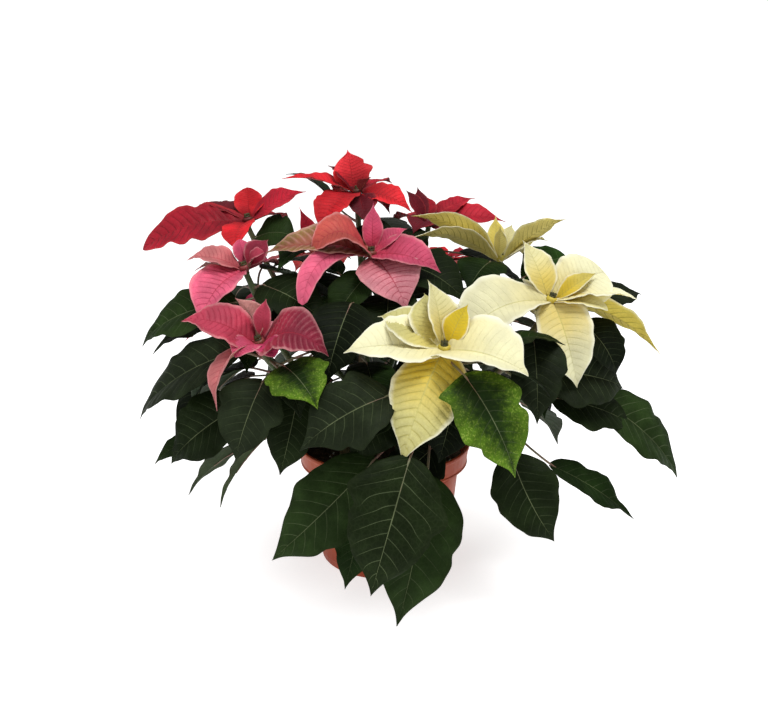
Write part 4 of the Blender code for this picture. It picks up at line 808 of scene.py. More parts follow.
# a dark and a pale colour in a grain; flecks and a wash may lie over them, and the relief adds up its parts
grainLooks = dict(
    bark=dict(
        name="bark", roughness=0.8, gloss=0.3, grain=(180.0, 5.0, 0.65), stretch=(1, 1, 0.28), spread=(0.3, 0.7),
        dark=(0.085, 0.060, 0.035), pale=(0.240, 0.185, 0.115), flecks=(380.0, (1, 1, 1.8)),
        fleckStep=(0.05, 0.3, 0.6, 0.0), fleckColour=(0.30, 0.25, 0.17), wash=25.0, washStep=(0.45, 0.65, 0.0, 0.5),
        washColour=(0.090, 0.110, 0.035), relief=(1.0, -0.4, 0.0), bump=(0.7, 0.9 * mm),
    ),
    soil=dict(
        name="pottingSoil", roughness=0.95, gloss=0.2, grain=(160.0, 6.0, 0.7), spread=(0.3, 0.7),
        dark=(0.016, 0.010, 0.006), pale=(0.075, 0.048, 0.028), flecks=(520.0, (1, 0.3, 1)),
        fleckStep=(0.02, 0.16, 0.5, 0.0), fleckColour=(0.15, 0.10, 0.055), fine=(700.0,), relief=(1.0, 0.0, 1.0),
        bump=(0.9, 1.5 * mm),
    ),
    barkBit=dict(
        name="barkBit", roughness=0.85, gloss=0.25, grain=(420.0, 4.0, 0.65), spread=(0.3, 0.7),
        dark=(0.050, 0.028, 0.015), pale=(0.150, 0.090, 0.050), relief=(1.0, 0.0, 0.0), bump=(0.7, 0.6 * mm),
    ),
    perlite=dict(
        name="perlite", roughness=0.9, gloss=0.25, grain=(420.0, 4.0, 0.65), spread=(0.3, 0.7),
        dark=(0.52, 0.50, 0.46), pale=(0.78, 0.76, 0.72), relief=(1.0, 0.0, 0.0), bump=(0.7, 0.6 * mm),
    ),
    cup=dict(
        name="cyathiumCup", roughness=0.45, gloss=0.5, grain=(320.0,), spread=(0.35, 0.7),
        dark=(0.030, 0.034, 0.008), pale=(0.090, 0.075, 0.014), fine=(900.0,), bump=(0.3, 0.3 * mm),
    ),
    gland=dict(
        name="nectarGland", roughness=0.25, gloss=0.6, grain=(500.0,), spread=(0.3, 0.7),
        dark=(0.72, 0.50, 0.03), pale=(0.82, 0.66, 0.10), fine=(1200.0,), bump=(0.2, 0.2 * mm),
    ),
    stamen=dict(
        name="stamens", roughness=0.6, gloss=0.3, grain=(700.0,), spread=(0.35, 0.65),
        dark=(0.34, 0.015, 0.02), pale=(0.62, 0.36, 0.06), fine=(1600.0,), bump=(0.3, 0.2 * mm),
    ),
)
skins = dict(  # a skin's green, the colour that it blushes to, and where the blush begins
    stem=("stemSkin", (0.070, 0.115, 0.035), (0.130, 0.060, 0.035), 0.4),
    stalk=("stalkSkin", (0.130, 0.150, 0.075), (0.270, 0.110, 0.095), 0.3),
    redHeart=("redHeart", (0.120, 0.008, 0.010), (0.060, 0.030, 0.012), 0.4),
    pinkHeart=("pinkHeart", (0.260, 0.030, 0.040), (0.120, 0.070, 0.020), 0.4),
    creamHeart=("creamHeart", (0.600, 0.470, 0.060), (0.300, 0.260, 0.030), 0.4),
)
for key, (name, green, blush, start) in skins.items():
    grainLooks[key] = dict(
        name=name, roughness=0.5, gloss=0.45, grain=(60.0, 3.0, 0.6), stretch=(1, 1, 0.35), spread=(start, 0.75),
        dark=green, pale=blush, flecks=(420.0, (1, 1, 1)), fleckStep=(0.0, 0.35, 0.35, 0.0),
        fleckColour=(0.30, 0.32, 0.18), fine=(500.0,), bump=(0.35, 0.4 * mm),
    )


def grainFinish(look):
    made = Finish(look["name"], look["roughness"], look["gloss"])

    def spread(scale):
        return made.stretched(made.place(), scale)

    grain = made.noise(*look["grain"], vector=spread(look.get("stretch", (1, 1, 1))))
    colour = made.mix(made.step(grain, *look["spread"]), look["dark"], look["pale"])
    own, sunk, added = look.get("relief", (0.0, 0.0, 1.0))
    height = made.times(grain, own)
    if "flecks" in look:
        scale, stretch = look["flecks"]
        flecks = made.cells(scale, spread(stretch), "F1")
        colour = made.mix(made.step(flecks, *look["fleckStep"]), colour, look["fleckColour"])
        height = made.plus(height, made.times(flecks, sunk))
    if "wash" in look:
        colour = made.mix(made.step(made.noise(look["wash"]), *look["washStep"]), colour, look["washColour"])
    if "fine" in look:
        height = made.plus(height, made.times(made.noise(*look["fine"]), added))
    made.set("Base Color", colour)
    made.bump(height, *look["bump"])
    return made.material


potLook = dict(
    roughness=0.50, gloss=0.16, cloud=(22.0, 4.0, 0.6), cloudStep=(0.3, 0.7), clay=(0.270, 0.038, 0.012),
    paleClay=(0.380, 0.070, 0.026), dustReach=(0.0, 0.035, 0.18, 0.0), dust=(90.0, 5.0), dustStep=(0.4, 0.7),
    dustColour=(0.28, 0.12, 0.07), scuffs=(320.0, 2.0, 0.5), scuffStretch=(1, 1, 0.12),
    scuffStep=(0.66, 0.8, 0.0, 0.25), scuffColour=(0.42, 0.18, 0.12), worn=(0.3, 0.8, 0.42, 0.58),
    fine=(1500.0, 2.0), scuffRelief=0.3, bump=(0.25, 0.3 * mm),
)


def potFinish(look):
    made = Finish("terracottaPlastic", look["roughness"], look["gloss"])
    _, _, height = made.split(made.place())
    colour = made.mix(made.step(made.noise(*look["cloud"]), *look["cloudStep"]), look["clay"], look["paleClay"])
    dust = made.step(made.noise(*look["dust"]), *look["dustStep"])
    dust = made.times(made.step(height, *look["dustReach"]), dust)
    colour = made.mix(dust, colour, look["dustColour"])
    scuff = made.noise(*look["scuffs"], made.stretched(made.place(), look["scuffStretch"]))
    colour = made.mix(made.step(scuff, *look["scuffStep"]), colour, look["scuffColour"])
    made.set("Base Color", colour)
    made.set("Roughness", made.step(scuff, *look["worn"]))
    made.bump(made.plus(made.noise(*look["fine"]), made.times(scuff, look["scuffRelief"])), *look["bump"])
    return made.material


finishes = dict(pot=potFinish(potLook))
for finishName, look in bladeLooks.items():
    finishes[finishName] = bladeFinish(finishName, look)
for finishName, look in grainLooks.items():
    finishes[finishName] = grainFinish(look)
print("materials made:", len(finishes))

bladeGrid = dict(
    rowStep=1.6 * mm, columnStep=2.7 * mm, rows=(20, 64), columns=(8, 22), thickness=0.6 * mm, edges=90,
    shift=0.10, anyTint=("deep", "green", "night", "slate"),
)
bladeShape = dict(  # depths in mm, angles in radians, the rest in shares of the blade
    bract=dict(
        quilt=1.0, groove=0.5, crease=0.16, pillow=0.03, wave=1.3, waves=2.6, crimp=0.35, droop=0.06, curl=3.0,
        drip=0.9, foot=2.2, notch=0.16, ears=0.07,
    ),
    leaf=dict(
        quilt=0.5, groove=0.7, crease=0.07, pillow=0.04, wave=1.5, waves=1.9, crimp=0.25, droop=0.06, curl=3.5,
        drip=1.0, foot=1.2, notch=0.10, ears=0.04,
    ),
)


def unit(vectors):
    return vectors / np.linalg.norm(vectors, axis=1)[:, None]


def softStep(value, low, high):
    value = np.clip((value - low) / (high - low), 0, 1)
    return value * value * (3 - 2 * value)


bladeTrim = dict(  # the same on bracts and leaves
    wobble=((0.03, 2.1, 0.4), (0.014, 6.3, 0.3)), bay=0.07, shoulder=0.13, shoulderBack=0.11, blunt=0.35,
    spike=0.8, spikeWidth=0.10, drip=0.45, dripReach=(0.70, 0.96), narrowest=0.12, skew=0.14, tilt=0.22,
    roundRib=0.0025, fullSize=25 * mm, arched=0.6, archEase=(0.4, 1.0), grooveWidth=1.3 * mm,
    ripples=((1, 1, 4, 0.37), (2.3, 0.45, 5, 0.21)), crimps=8.2, crimpShift=0.3, curlReach=(0.7, 1.05),
)


def outlineOf(blade, kind, v, right, lean):  # how far the blade reaches to its side, with bays and a drawn-out tip
    shape, look, trim = bladeShape[kind], blade["look"], bladeTrim
    wobble = 0
    for (depth, turns, shift), first in zip(trim["wobble"], lean):
        wobble = wobble + depth * np.sin(2 * np.pi * (turns * v + first + shift * right))
    usual = (0.3 + 0.35 * lean[1], -0.35 - 0.3 * lean[6]) if kind == "leaf" else ()
    for cut in look.get("cuts", usual):  # a cut below 0 is on the left
        onSide = right if cut > 0 else 1 - right
        bay = np.maximum(0, 1 - np.abs(v - abs(cut)) / trim["bay"])
        shoulder = np.maximum(0, 1 - np.abs(v - abs(cut) + trim["shoulderBack"]) / trim["shoulder"])
        wobble += onSide * shape["notch"] * (shoulder - bay) * (0.5 + lean[5])
    if "spike" in look:
        wobble += right * trim["spike"] * np.maximum(0, 1 - np.abs(v - look["spike"]) / trim["spikeWidth"]) ** 1.5
    drip = shape["drip"] * (trim["blunt"] if blade["form"] in ("round", "ribbon", "spoon") else 1)
    reach = np.array([halfWidth(blade, s, blade["lobe"]) for s in v])
    reach *= 1 + wobble - trim["drip"] * drip * softStep(v, *trim["dripReach"])
    return np.maximum(reach, (shape["foot"] * (1 - v) + trim["narrowest"]) * mm)


def reliefOf(blade, kind, t, v, reach, right, lean):  # the quilting between the veins, the waves and the curl
    shape, look, pattern, trim = bladeShape[kind], blade["look"], veining[kind], bladeTrim
    edge = np.abs(t)
    climb = pattern["arch"] * edge ** pattern["bend"] * (1 - trim["arched"] * softStep(v, *trim["archEase"]))
    phase = (v - climb) * pattern["count"] + pattern["offset"] * right
    valley = 0.5 - 0.5 * np.cos(2 * np.pi * phase)
    between = softStep(edge, 0.0, 0.25) * (1 - softStep(edge, 0.8, 1.0))
    between = between * softStep(v, 0, 0.15) * (1 - softStep(v, 0.8, 1))
    lift = -shape["quilt"] * look.get("quilt", 1) * valley * between
    groove = np.exp(-((t * reach / trim["grooveWidth"]) ** 2))
    lift -= shape["groove"] * groove * (1 - softStep(v, 0.7, 1))
    belly = np.sin(np.pi * np.clip(v, 0, 1)) ** 0.7
    waves = shape["waves"] * (0.8 + 0.4 * lean[3])
    for turns, height, first, shift in trim["ripples"]:
        ripple = height * np.sin(2 * np.pi * (turns * waves * v + lean[first] + shift * right))
        lift += shape["wave"] * look.get("wave", 1) * edge**2.4 * belly * ripple
    crimp = np.sin(2 * np.pi * (trim["crimps"] * v + lean[1] + trim["crimpShift"] * right))
    lift += shape["crimp"] * edge**3 * belly * crimp
    lift -= look.get("curl", shape["curl"]) * softStep(v, *trim["curlReach"]) ** 2 * (0.3 + lean[6])
    return lift * mm * np.minimum(1.0, blade["half"] / trim["fullSize"])


def finePoints(blade, kind, u, v, chance):  # u runs from edge to edge and v from base to tip
    shape, look, trim = bladeShape[kind], blade["look"], bladeTrim
    base, control, tip, sideways = (np.array(blade[key]) for key in ("base", "control", "tip", "side"))
    t = 2 * u - 1
    edge, right = np.abs(t), (t > 0).astype(float)
    w = v[:, None]
    along = unit((1 - w) * (control - base) + w * (tip - control))
    side = unit(sideways - along * (along @ sideways)[:, None])
    normal = np.cross(side, along)
    lean = [chance.uniform(0, 1) for _ in range(8)]
    reach = outlineOf(blade, kind, v, right, lean)
    fold = blade["fold"] + math.copysign(shape["crease"], blade["fold"])
    fold = fold + (lean[2] - 0.5) * trim["skew"] * np.sign(t)
    across = t * np.cos(fold) * reach
    roundRib = trim["roundRib"]
    lift = (np.sqrt(edge**2 + roundRib) - math.sqrt(roundRib)) * np.sin(fold) * reach
    lift += shape["pillow"] * reach * np.sin(np.pi * edge**0.8)
    lift -= shape["droop"] * reach * edge**4 * (0.4 + 1.2 * lean[2])
    lift += reliefOf(blade, kind, t, v, reach, right, lean)
    lift += across * (lean[7] - 0.5) * trim["tilt"] * softStep(v, 0.2, 1)
    # the base of a blade is a little heart-shaped
    w = w - ((shape["ears"] + look.get("ear", 0) * right) * edge**1.5 * (1 - v) ** 3)[:, None]
    return bend(base, control, tip, w) + side * across[:, None] + normal * lift[:, None]


def cellsFor(blade):
    long = round((blade["tip"] - blade["base"]).length / bladeGrid["rowStep"])
    wide = 2 * blade["half"] / bladeGrid["columnStep"]
    fewest, most = bladeGrid["columns"]
    shortest, longest = bladeGrid["rows"]
    return 2 * round(min(most, max(fewest, wide)) / 2), min(longest, max(shortest, long))


def meshFrom(bm, name):
    mesh = bpy.data.meshes.new(name)
    bm.to_mesh(mesh)
    bm.free()
    return mesh


def addObject(name, data):
    made = bpy.data.objects.new(name, data)
    bpy.context.scene.collection.objects.link(made)
    return made


def spun(profile, steps, unit=1.0):  # a profile of (radius, height) turned round the upright axis
    bm = bmesh.new()
    verts = [bm.verts.new((radius * unit, 0, height * unit)) for radius, height in profile]
    edges = [bm.edges.new(pair) for pair in zip(verts, verts[1:])]
    around = dict(cent=(0, 0, 0), axis=(0, 0, 1), angle=2 * math.pi, steps=steps, use_merge=True)
    bmesh.ops.spin(bm, geom=verts + edges, **around)
    bmesh.ops.remove_doubles(bm, verts=bm.verts, dist=1e-6)
    return bm


def setOnHeart(bm, bloom):
    turn = Vector((0, 0, 1)).rotation_difference(bloom["lean"]).to_matrix()
    bmesh.ops.rotate(bm, verts=bm.verts, cent=(0, 0, 0), matrix=turn)
    bmesh.ops.translate(bm, verts=bm.verts, vec=bloom["heart"])


def addPiece(name, mesh, finishNames):
    piece = addObject(name, mesh)
    mesh.materials.clear()
    for finishName in finishNames:
        mesh.materials.append(finishes[finishName])
    mesh.polygons.foreach_set("use_smooth", [True] * len(mesh.polygons))
    return piece


def growBlades(name, blades, kind, finishNames, chance):
    bm = bmesh.new()
    bm.loops.layers.uv.new("UVMap")
    sizes = []
    for blade in blades:
        columns, rows = cellsFor(blade)
        made = bmesh.ops.create_grid(bm, x_segments=columns, y_segments=rows, size=1, calc_uvs=True)
        sizes.append(len(made["verts"]))
    mesh = meshFrom(bm, name)
    places = np.empty(3 * len(mesh.vertices))
    mesh.vertices.foreach_get("co", places)
    places = places.reshape(-1, 3)
    tint = np.ones((len(places), 4))
    marks = np.ones((len(places), 4))
    start = 0
    for blade, size in zip(blades, sizes):
        span = slice(start, start + size)
        u, v = (places[span, axis] / 2 + 0.5 for axis in (0, 1))
        places[span] = finePoints(blade, kind, u, v, chance)
        look = blade["look"]
        shift = 1 + chance.uniform(-bladeGrid["shift"], bladeGrid["shift"])
        anyTint = chance.choice(bladeGrid["anyTint"])
        tint[span, :3] = np.array(tints[look.get("tint", anyTint)]) * shift
        marks[span] = (look.get("gold", 0), look.get("mottle", 0), look.get("shade", 0), look.get("veins", 0.6))
        start += size
    mesh.vertices.foreach_set("co", places.ravel())
    for title, values in (("tint", tint), ("marks", marks)):
        mesh.attributes.new(title, "FLOAT_COLOR", "POINT").data.foreach_set("color", values.ravel())
    piece = addPiece(name, mesh, finishNames)
    wall = piece.modifiers.new("Thickness", "SOLIDIFY")
    wall.thickness = bladeGrid["thickness"]
    wall.offset = 0
    wall.material_offset = 1
    even = piece.modifiers.new("Edges", "WEIGHTED_NORMAL")
    even.weight = bladeGrid["edges"]
    return piece


stemShape = dict(
    steps=7, slim=0.92, knot=1.25, knotReach=0.006, stalkTop=1.05, stalkFoot=1.6, stalkSteps=8, straight=0.55,
    ribStops=(0.04, 0.1, 0.2, 0.32, 0.46, 0.6), ribBelow=0.9, ribRadius=0.85,
)


def smoothPath(points, steps):  # a rounded line through all of the points
    padded = [2 * points[0] - points[1], *points, 2 * points[-1] - points[-2]]
    line = []
    for a, b, c, d in zip(padded, padded[1:], padded[2:], padded[3:]):
        for k in range(steps):
            x = k / steps
            square, cube = 2 * a - 5 * b + 4 * c - d, 3 * b - a - 3 * c + d
            line.append(0.5 * (2 * b + (c - a) * x + square * x**2 + cube * x**3))
    return line + [points[-1]]


def tubes(name, lines, finishName, resolution=2):  # each line is a list of (point, radius)
    data = bpy.data.curves.new(name, "CURVE")
    data.dimensions = "3D"
    data.bevel_depth = 1
    data.bevel_resolution = resolution
    data.use_fill_caps = True
    for line in lines:
        spline = data.splines.new("POLY")
        spline.points.add(len(line) - 1)
        for point, (place, radius) in zip(spline.points, line):
            point.co = (*place, 1)
            point.radius = radius
    guide = addObject(name + "Guide", data)
    bpy.context.view_layer.update()
    mesh = bpy.data.meshes.new_from_object(guide.evaluated_get(bpy.context.evaluated_depsgraph_get()))
    bpy.data.objects.remove(guide)
    bm = bmesh.new()
    bm.from_mesh(mesh)
    bmesh.ops.remove_doubles(bm, verts=bm.verts, dist=1e-6)
    bmesh.ops.recalc_face_normals(bm, faces=bm.faces)
    return addPiece(name, meshFrom(bm, name), [finishName])


def stemLine(bloom):
    line = smoothPath(bloom["path"], stemShape["steps"])
    roots = [blade["root"] for blade in bloom["leaves"]]
    sized = []
    for place in line:
        near = min([(place - root).length for root in roots], default=1)
        swell = 1 + (stemShape["knot"] - 1) * max(0.0, 1 - near / stemShape["knotReach"])
        sized.append((place, habit["stemRadius"] * stemShape["slim"] * swell))
    return sized


def stalkLine(blade):
    root, base = blade["root"], blade["base"]
    straight, steps = stemShape["straight"], stemShape["stalkSteps"]
    ahead = (blade["control"] - base).normalized() * (base - root).length * (1 - straight)
    control = (root + base) / 2 * straight + (base - ahead) * (1 - straight)
    line = []
    for k in range(steps + 1):
        s = k / steps
        place = bend(root, control, base, s)
        radius = stemShape["stalkTop"] + (stemShape["stalkFoot"] - stemShape["stalkTop"]) * (1 - s) ** 3
        line.append((place, radius * mm))
    for s in stemShape["ribStops"]:  # it runs on below the leaf as its rib
        place, normal = surfaceAt(blade, s, 0)
        line.append((place - normal * stemShape["ribBelow"] * mm, stemShape["ribRadius"] * (1 - s) * mm))
    return line


heartShape = dict(
    profile=[(0, -6), (2.9, -6), (3.2, -4.6), (4.4, -3.2), (5.2, -1.4), (5, 0), (4, 0.9), (2.4, 1.3), (0, 1.4)],
    steps=20, lumps=0.10, lump=3 * mm, apart=500,
)


def growHeart(bloom):
    bm = spun(heartShape["profile"], heartShape["steps"], mm)
    own = bloom["heart"] * heartShape["apart"]
    for vert in bm.verts:
        flat = Vector((vert.co.x, vert.co.y, 0))
        vert.co += flat * (heartShape["lumps"] * noise.noise(vert.co / heartShape["lump"] + own))
    setOnHeart(bm, bloom)
    bmesh.ops.recalc_face_normals(bm, faces=bm.faces)
    name = "heart_" + bloom["name"]
    return addPiece(name, meshFrom(bm, name), [bloom["plant"] + "Heart"])


cupShape = dict(
    profile=[(0.6, 0), (1.1, 0.7), (1.3, 1.7), (1.2, 2.5), (0.95, 2.9), (0.8, 2.8), (0.6, 2.3), (0, 2.2)],
    steps=12, count=6, ring=2.0 * mm, turn=0.3, seatAt=1.8 * mm,
    seat=dict(cap_ends=True, segments=18, radius1=3.4 * mm, radius2=3.2 * mm, depth=1.2 * mm),
    gland=0.6 * mm, glandForm=(0.7, 1.2, 0.75), glandAt=(1.05 * mm, 0, 2.5 * mm), stamens=4, stamenAt=2.7 * mm,
    stray=0.5, sizes=(0.85, 1.0),
    stamen=dict(cap_ends=True, segments=5, radius1=0.22 * mm, radius2=0.3 * mm, depth=1.6 * mm),
)


def paintFaces(verts, slot):
    for face in {face for vert in verts for face in vert.link_faces}:
        face.material_index = slot


def oneCup(chance):  # a cup with its nectar gland and a few stamens
    bm = spun(cupShape["profile"], cupShape["steps"], mm)
    gland = bmesh.ops.create_icosphere(bm, subdivisions=2, radius=cupShape["gland"])["verts"]
    bmesh.ops.scale(bm, verts=gland, vec=cupShape["glandForm"])
    bmesh.ops.translate(bm, verts=gland, vec=cupShape["glandAt"])
    paintFaces(gland, 1)
    for _ in range(cupShape["stamens"]):
        lean, turn = chance.uniform(0, cupShape["stray"]) * mm, chance.uniform(0, 2 * math.pi)
        stamen = bmesh.ops.create_cone(bm, **cupShape["stamen"])["verts"]
        bmesh.ops.translate(bm, verts=stamen, vec=onRing(turn, lean, cupShape["stamenAt"]))
        paintFaces(stamen, 2)
    bmesh.ops.recalc_face_normals(bm, faces=bm.faces)
    return meshFrom(bm, "cup")


def growCups(bloom):
    chance = random.Random(bloom["name"])
    single = oneCup(chance)
    bm = bmesh.new()
    seat = bmesh.ops.create_cone(bm, **cupShape["seat"])["verts"]
    bmesh.ops.translate(bm, verts=seat, vec=(0, 0, cupShape["seatAt"]))
    outer = cupShape["count"] - 1  # one cup stands in the middle of the others
    for index in range(cupShape["count"]):
        angle = 2 * math.pi * index / outer + cupShape["turn"]
        ring = 0 if index == outer else cupShape["ring"]
        before = len(bm.verts)
        bm.from_mesh(single)
        bm.verts.ensure_lookup_table()
        cup = bm.verts[before:]
        turn = Vector((1, 0, 0)).rotation_difference(onRing(angle, 1)).to_matrix()
        bmesh.ops.rotate(bm, verts=cup, cent=(0, 0, 0), matrix=turn)
        size = chance.uniform(*cupShape["sizes"])
        bmesh.ops.scale(bm, verts=cup, vec=(size, size, size))
        bmesh.ops.translate(bm, verts=cup, vec=onRing(angle, ring, cupShape["seatAt"]))
    setOnHeart(bm, bloom)
    name = "cyathia_cups_" + bloom["name"]
    return addPiece(name, meshFrom(bm, name), ["cup", "gland", "stamen"])


trunkShape = dict(
    steps=24, taper=0.2, knots=0.04, knotTurns=9, stubSteps=6, stubEnds=(1.08, 0.98), grain=700, along=0.4,
    rough=0.35 * mm,
)


def growTrunk(plant, own):
    x, y = habit["trunks"][plant]
    foot = pot["soilTop"] - habit["trunkDepth"]
    bole = []
    for k in range(trunkShape["steps"] + 1):
        s = k / trunkShape["steps"]
        height = foot + (habit["trunkTop"] - foot) * s
        knots = 1 + trunkShape["knots"] * math.sin(trunkShape["knotTurns"] * s * math.pi)
        bole.append((Vector((x, y, height)), habit["trunkRadius"] * (1 - trunkShape["taper"] * s) * knots))
    lines = [bole]
    for bloom in own:
        foot, step = bloom["foot"], bloom["slope"] * habit["stubReach"]
        thick, thin = trunkShape["stubEnds"]
        shares = [k / trunkShape["stubSteps"] for k in range(trunkShape["stubSteps"] + 1)]
        lines.append([(foot + step * s, habit["stubRadius"] * (thick + (thin - thick) * s)) for s in shares])
    piece = tubes("bark_" + plant, lines, "bark", 4)
    for vert in piece.data.vertices:
        if vert.co.z > pot["soilTop"]:
            away = (vert.co - Vector((x, y, vert.co.z))).normalized()
            grain = Vector((vert.co.x, vert.co.y, vert.co.z * trunkShape["along"])) * trunkShape["grain"]
            vert.co += away * noise.noise(grain) * trunkShape["rough"]
    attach(piece, "root")
    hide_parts("trunk_" + plant)


def lathe(name, profile, steps):
    bm = spun(profile, steps)
    bmesh.ops.recalc_face_normals(bm, faces=bm.faces)
    return meshFrom(bm, name)


def wallRadius(height):
    foot, neck = pot["footRadius"] + mouldings["wallSpread"] * mm, pot["neckRadius"]
    return foot + (neck - foot) * height / (pot["height"] - pot["rimDrop"])


# the mouldings in mm, as (radius, height) from each edge's own corner
mouldings = dict(
    lip=[(-2.6, -0.3), (-2.1, 0), (-0.9, 0), (-0.2, -0.5), (0, -1.2), (-0.1, -3), (-0.9, -3.8), (-1.2, -5.2)],
    bandFoot=[(-3, 2.2), (-2.4, 1.6), (-2.4, 0.4), (-3.2, -0.2)],
    neck=[(1.2, -1.4), (0.1, -2.2)],
    wall=[(-0.1, 94), (-0.5, 93.4), (-0.1, 92.8), (-0.1, 80), (-0.1, 60), (-0.1, 40), (-0.1, 22), (-0.1, 11.6)],
    wallFoot=(-0.2, 9.4),
    foot=[(0.8, 7.8), (0, 6.6), (-0.2, 1), (-1, 0), (-4, 0), (-4.8, 0.9)],
    base=[(52, 0.9), (51, 0.3), (18, 0.3), (17.2, 0.9), (0, 0.9)],
    insideFoot=12, insideNeck=-3, insideBand=(-3.5, 1), insideLip=(-3, -0.8), wallSpread=2,
)
drain = dict(segments=28, length=30 * mm, middle=5 * mm)
sharpFrom = math.radians(40)


def moulded(radius, height, offsets):
    return [(radius + across * mm, height + up * mm) for across, up in offsets]


def potProfile():
    top, rim, neck, foot = pot["height"], pot["rimRadius"], pot["neckRadius"], pot["footRadius"]
    bandFoot, wall = top - pot["rimDrop"], pot["wall"]
    corners = moulded(rim, top, mouldings["lip"]) + moulded(rim, bandFoot, mouldings["bandFoot"])
    corners += moulded(neck, bandFoot, mouldings["neck"])
    for across, up in (*mouldings["wall"], mouldings["wallFoot"]):
        corners.append((wallRadius(up * mm) + across * mm, up * mm))
    corners += moulded(foot, 0, mouldings["foot"]) + moulded(0, 0, mouldings["base"])
    low = mouldings["insideFoot"] * mm
    corners += [(0, pot["floor"]), (foot - wall, pot["floor"]), (wallRadius(low) - wall, low)]
    corners += moulded(neck - wall, bandFoot, [(0, mouldings["insideNeck"])])
    corners += moulded(rim - wall, bandFoot, [mouldings["insideBand"]])
    corners += moulded(rim, top, [mouldings["insideLip"]])
    return corners + corners[:1]


def makePot():
    piece = addPiece("moulded_pot", lathe("moulded_pot", potProfile(), pot["steps"]), ["pot"])
    drills = []
    bore = dict(radius1=pot["holeRadius"], radius2=pot["holeRadius"], depth=drain["length"])
    for index in range(pot["holes"]):
        bm = bmesh.new()
        bmesh.ops.create_cone(bm, cap_ends=True, segments=drain["segments"], **bore)
        spot = onRing(2 * math.pi * index / pot["holes"], pot["holeRing"], drain["middle"])
        bmesh.ops.translate(bm, verts=bm.verts, vec=spot)
        drill = addObject("drill", meshFrom(bm, "drill"))
        drills.append(drill)
        cut = piece.modifiers.new("Drain", "BOOLEAN")
        cut.operation = "DIFFERENCE"
        cut.object = drill
    bpy.context.view_layer.update()
    cutMesh = bpy.data.meshes.new_from_object(piece.evaluated_get(bpy.context.evaluated_depsgraph_get()))
    piece.modifiers.clear()
    piece.data = cutMesh
    for drill in drills:
        bpy.data.objects.remove(drill)
    cutMesh.polygons.foreach_set("use_smooth", [True] * len(cutMesh.polygons))
    cutMesh.set_sharp_from_angle(angle=sharpFrom)
    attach(piece, "root")
    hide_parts("pot")


soilShape = dict(
    edge=6.8 * mm, gap=0.6 * mm, bottomGap=0.3 * mm, low=12.5 * mm, high=96.6 * mm, rings=26, steps=72,
    rough=1.05 * mm, coarse=90, fine=330, fineShare=0.7, skin=1 * mm, still=0.99, seed=21, strewn=0.96,
    broken=(0.75, 1.15), narrow=(0.4, 0.9), flatten=(0.5, 1), tipped=0.4,
    loose=(  # how many, the range of their sizes in mm, and how flat they are
        ("bark_bits", 150, "barkBit", (1.2, 3.2), 0.45), ("perlite_grains", 40, "perlite", (0.8, 1.7), 0.85),
    ),
)


def soilLevel(radius, edge):
    return pot["soilTop"] + pot["soilCrown"] * (1 - (radius / edge) ** 2)


def makeSoil():
    edge = pot["rimRadius"] - soilShape["edge"]
    inset, bottom = pot["wall"] + soilShape["gap"], pot["floor"] + soilShape["bottomGap"]
    low, high = soilShape["low"], soilShape["high"]
    profile = [(0, bottom), (pot["footRadius"] - inset, bottom), (wallRadius(low) - inset, low)]
    profile.append((pot["neckRadius"] - inset, high))
    for ring in range(soilShape["rings"], -1, -1):
        radius = edge * ring / soilShape["rings"]
        profile.append((radius, soilLevel(radius, edge) - soilShape["gap"]))
    mesh = lathe("potting_soil", profile, soilShape["steps"])
    for vert in mesh.vertices:
        spot = Vector((vert.co.x, vert.co.y, 0))
        if vert.co.z > pot["soilTop"] - soilShape["skin"] and spot.length < edge * soilShape["still"]:
            crumbs = soilShape["fineShare"] * noise.noise(spot * soilShape["fine"])
            vert.co.z += soilShape["rough"] * (noise.noise(spot * soilShape["coarse"]) + crumbs)
    piece = addPiece("potting_soil", mesh, ["soil"])
    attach(piece, "root")
    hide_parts("soil")
    chance = random.Random(soilShape["seed"])
    for title, count, finishName, sizes, flatness in soilShape["loose"]:
        bm = bmesh.new()
        for _ in range(count):
            radius = edge * soilShape["strewn"] * math.sqrt(chance.random())
            angle = chance.uniform(0, 2 * math.pi)
            size = chance.uniform(*sizes) * mm
            grain = bmesh.ops.create_icosphere(bm, subdivisions=1, radius=size)["verts"]
            for vert in grain:
                vert.co *= chance.uniform(*soilShape["broken"])
            squeeze = (1, chance.uniform(*soilShape["narrow"]), flatness * chance.uniform(*soilShape["flatten"]))
            bmesh.ops.scale(bm, verts=grain, vec=squeeze)
            tipped = chance.uniform(-soilShape["tipped"], soilShape["tipped"])
            turn = Vector((1, 0, 0)).rotation_difference(onRing(3 * angle, 1, tipped))
            bmesh.ops.rotate(bm, verts=grain, cent=(0, 0, 0), matrix=turn.to_matrix())
            bmesh.ops.translate(bm, verts=grain, vec=onRing(angle, radius, soilLevel(radius, edge)))
        grains = addPiece(title, meshFrom(bm, title), [finishName])
        grains.data.polygons.foreach_set("use_smooth", [False] * len(grains.data.polygons))
        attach(grains, "root")


plants = layOut()
print("laid out:", len(plants), "blooms,", sum(len(b["leaves"]) for b in plants), "leaves")

makePot()
makeSoil()
for plant in habit["trunks"]:
    growTrunk(plant, [b for b in plants if b["plant"] == plant])
print("pot, soil and trunks made")

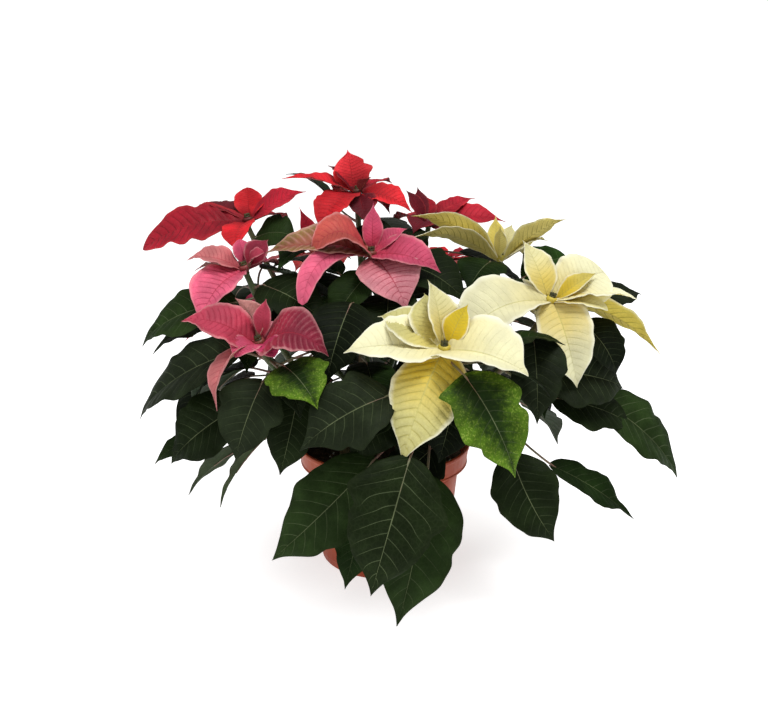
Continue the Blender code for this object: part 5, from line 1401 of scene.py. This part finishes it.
for bloom in plants:
    name, plant = bloom["name"], bloom["plant"]
    chance = random.Random("blades " + name)
    bractPiece = growBlades("bracts_" + name, bloom["bracts"], "bract", [plant + "Top", plant + "Under"], chance)
    heartPiece = growHeart(bloom)
    leafPiece = growBlades("leaves_" + name, bloom["leaves"], "leaf", ["leafTop", "leafUnder"], chance)
    stemPiece = tubes("shoot_" + name, [stemLine(bloom)], "stem", 3)
    stalkPiece = tubes("stalks_" + name, [stalkLine(blade) for blade in bloom["leaves"]], "stalk", 1)
    cupPiece = growCups(bloom)
    for piece, node, slot in (
        (bractPiece, "bloom_" + name, plant), (heartPiece, "bloom_" + name, "leaf"),
        (leafPiece, "stem_" + name, "leaf"), (stemPiece, "stem_" + name, "leaf"),
        (stalkPiece, "stem_" + name, "leaf"), (cupPiece, "cyathia_" + name, "cyathia"),
    ):
        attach(piece, "root")
        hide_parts(node)
    print("grown:", name)

view = dict(place=(0, -0.85, 0.4375), target=(0, 0, 0.2), focal=911, width=768, sensor=36)
studio = dict(
    backdrop=1.05, world=0.40, key=26.0, keyPlace=(0.35, -0.55, 2.0), keySize=0.8,
    fill=5.0, fillPlace=(-1.2, -0.9, 0.9), fillSize=1.2,
)

cameraData = bpy.data.cameras.new("camera")
cameraData.sensor_fit = "HORIZONTAL"
cameraData.sensor_width = view["sensor"]
cameraData.lens = view["sensor"] * view["focal"] / view["width"]
camera = addObject("camera", cameraData)
camera.location = view["place"]
camera.rotation_euler = (Vector(view["target"]) - Vector(view["place"])).to_track_quat("-Z", "Y").to_euler()
bpy.context.scene.camera = camera


def addLight(title, place, size, power):
    data = bpy.data.lights.new(title, "AREA")
    data.shape = "DISK"
    data.size = size
    data.energy = power
    lamp = addObject(title, data)
    lamp.location = place
    lamp.rotation_euler = (Vector(view["target"]) - Vector(place)).to_track_quat("-Z", "Y").to_euler()


addLight("key", studio["keyPlace"], studio["keySize"], studio["key"])
addLight("fill", studio["fillPlace"], studio["fillSize"], studio["fill"])
world = bpy.data.worlds.new("studio")
world.use_nodes = True
sky = world.node_tree.nodes["Background"]
sky.inputs["Color"].default_value = (1, 1, 1, 1)
seen = world.node_tree.nodes.new("ShaderNodeLightPath")
level = world.node_tree.nodes.new("ShaderNodeMapRange")
level.inputs["To Min"].default_value = studio["world"]
level.inputs["To Max"].default_value = studio["backdrop"]
world.node_tree.links.new(seen.outputs["Is Camera Ray"], level.inputs["Value"])
world.node_tree.links.new(level.outputs[0], sky.inputs["Strength"])
bpy.context.scene.world = world
bpy.context.scene.view_settings.view_transform = "Standard"

# the floor's emission makes it as pale as the backdrop, and is weaker near the pot: a painted shadow round the
# pot's foot
ground = dict(size=6, colour=(0.62, 0.62, 0.62), near=0.07, far=0.19, dim=0.66, bright=0.99)
bm = bmesh.new()
bmesh.ops.create_grid(bm, x_segments=1, y_segments=1, size=ground["size"])
floor = addObject("floor", meshFrom(bm, "floor"))
floor.location = (0, 0, cadBox[0][2])
floorFinish = Finish("paleFloor", 0.9, 0.1)
floorFinish.set("Base Color", ground["colour"])
floorFinish.set("Emission Color", (1.0, 1.0, 1.0))
squares = [floorFinish.times(side, side) for side in floorFinish.split(floorFinish.place())[:2]]
fromPot = floorFinish.math("SQRT", floorFinish.plus(*squares))
# painted shadow: the emission falls from bright far away to dim towards the pot
paintedShadowGlow = floorFinish.step(fromPot, ground["near"], ground["far"], ground["dim"], ground["bright"])
floorFinish.set("Emission Strength", paintedShadowGlow)
floor.data.materials.append(floorFinish.material)
print("camera, light and floor set")
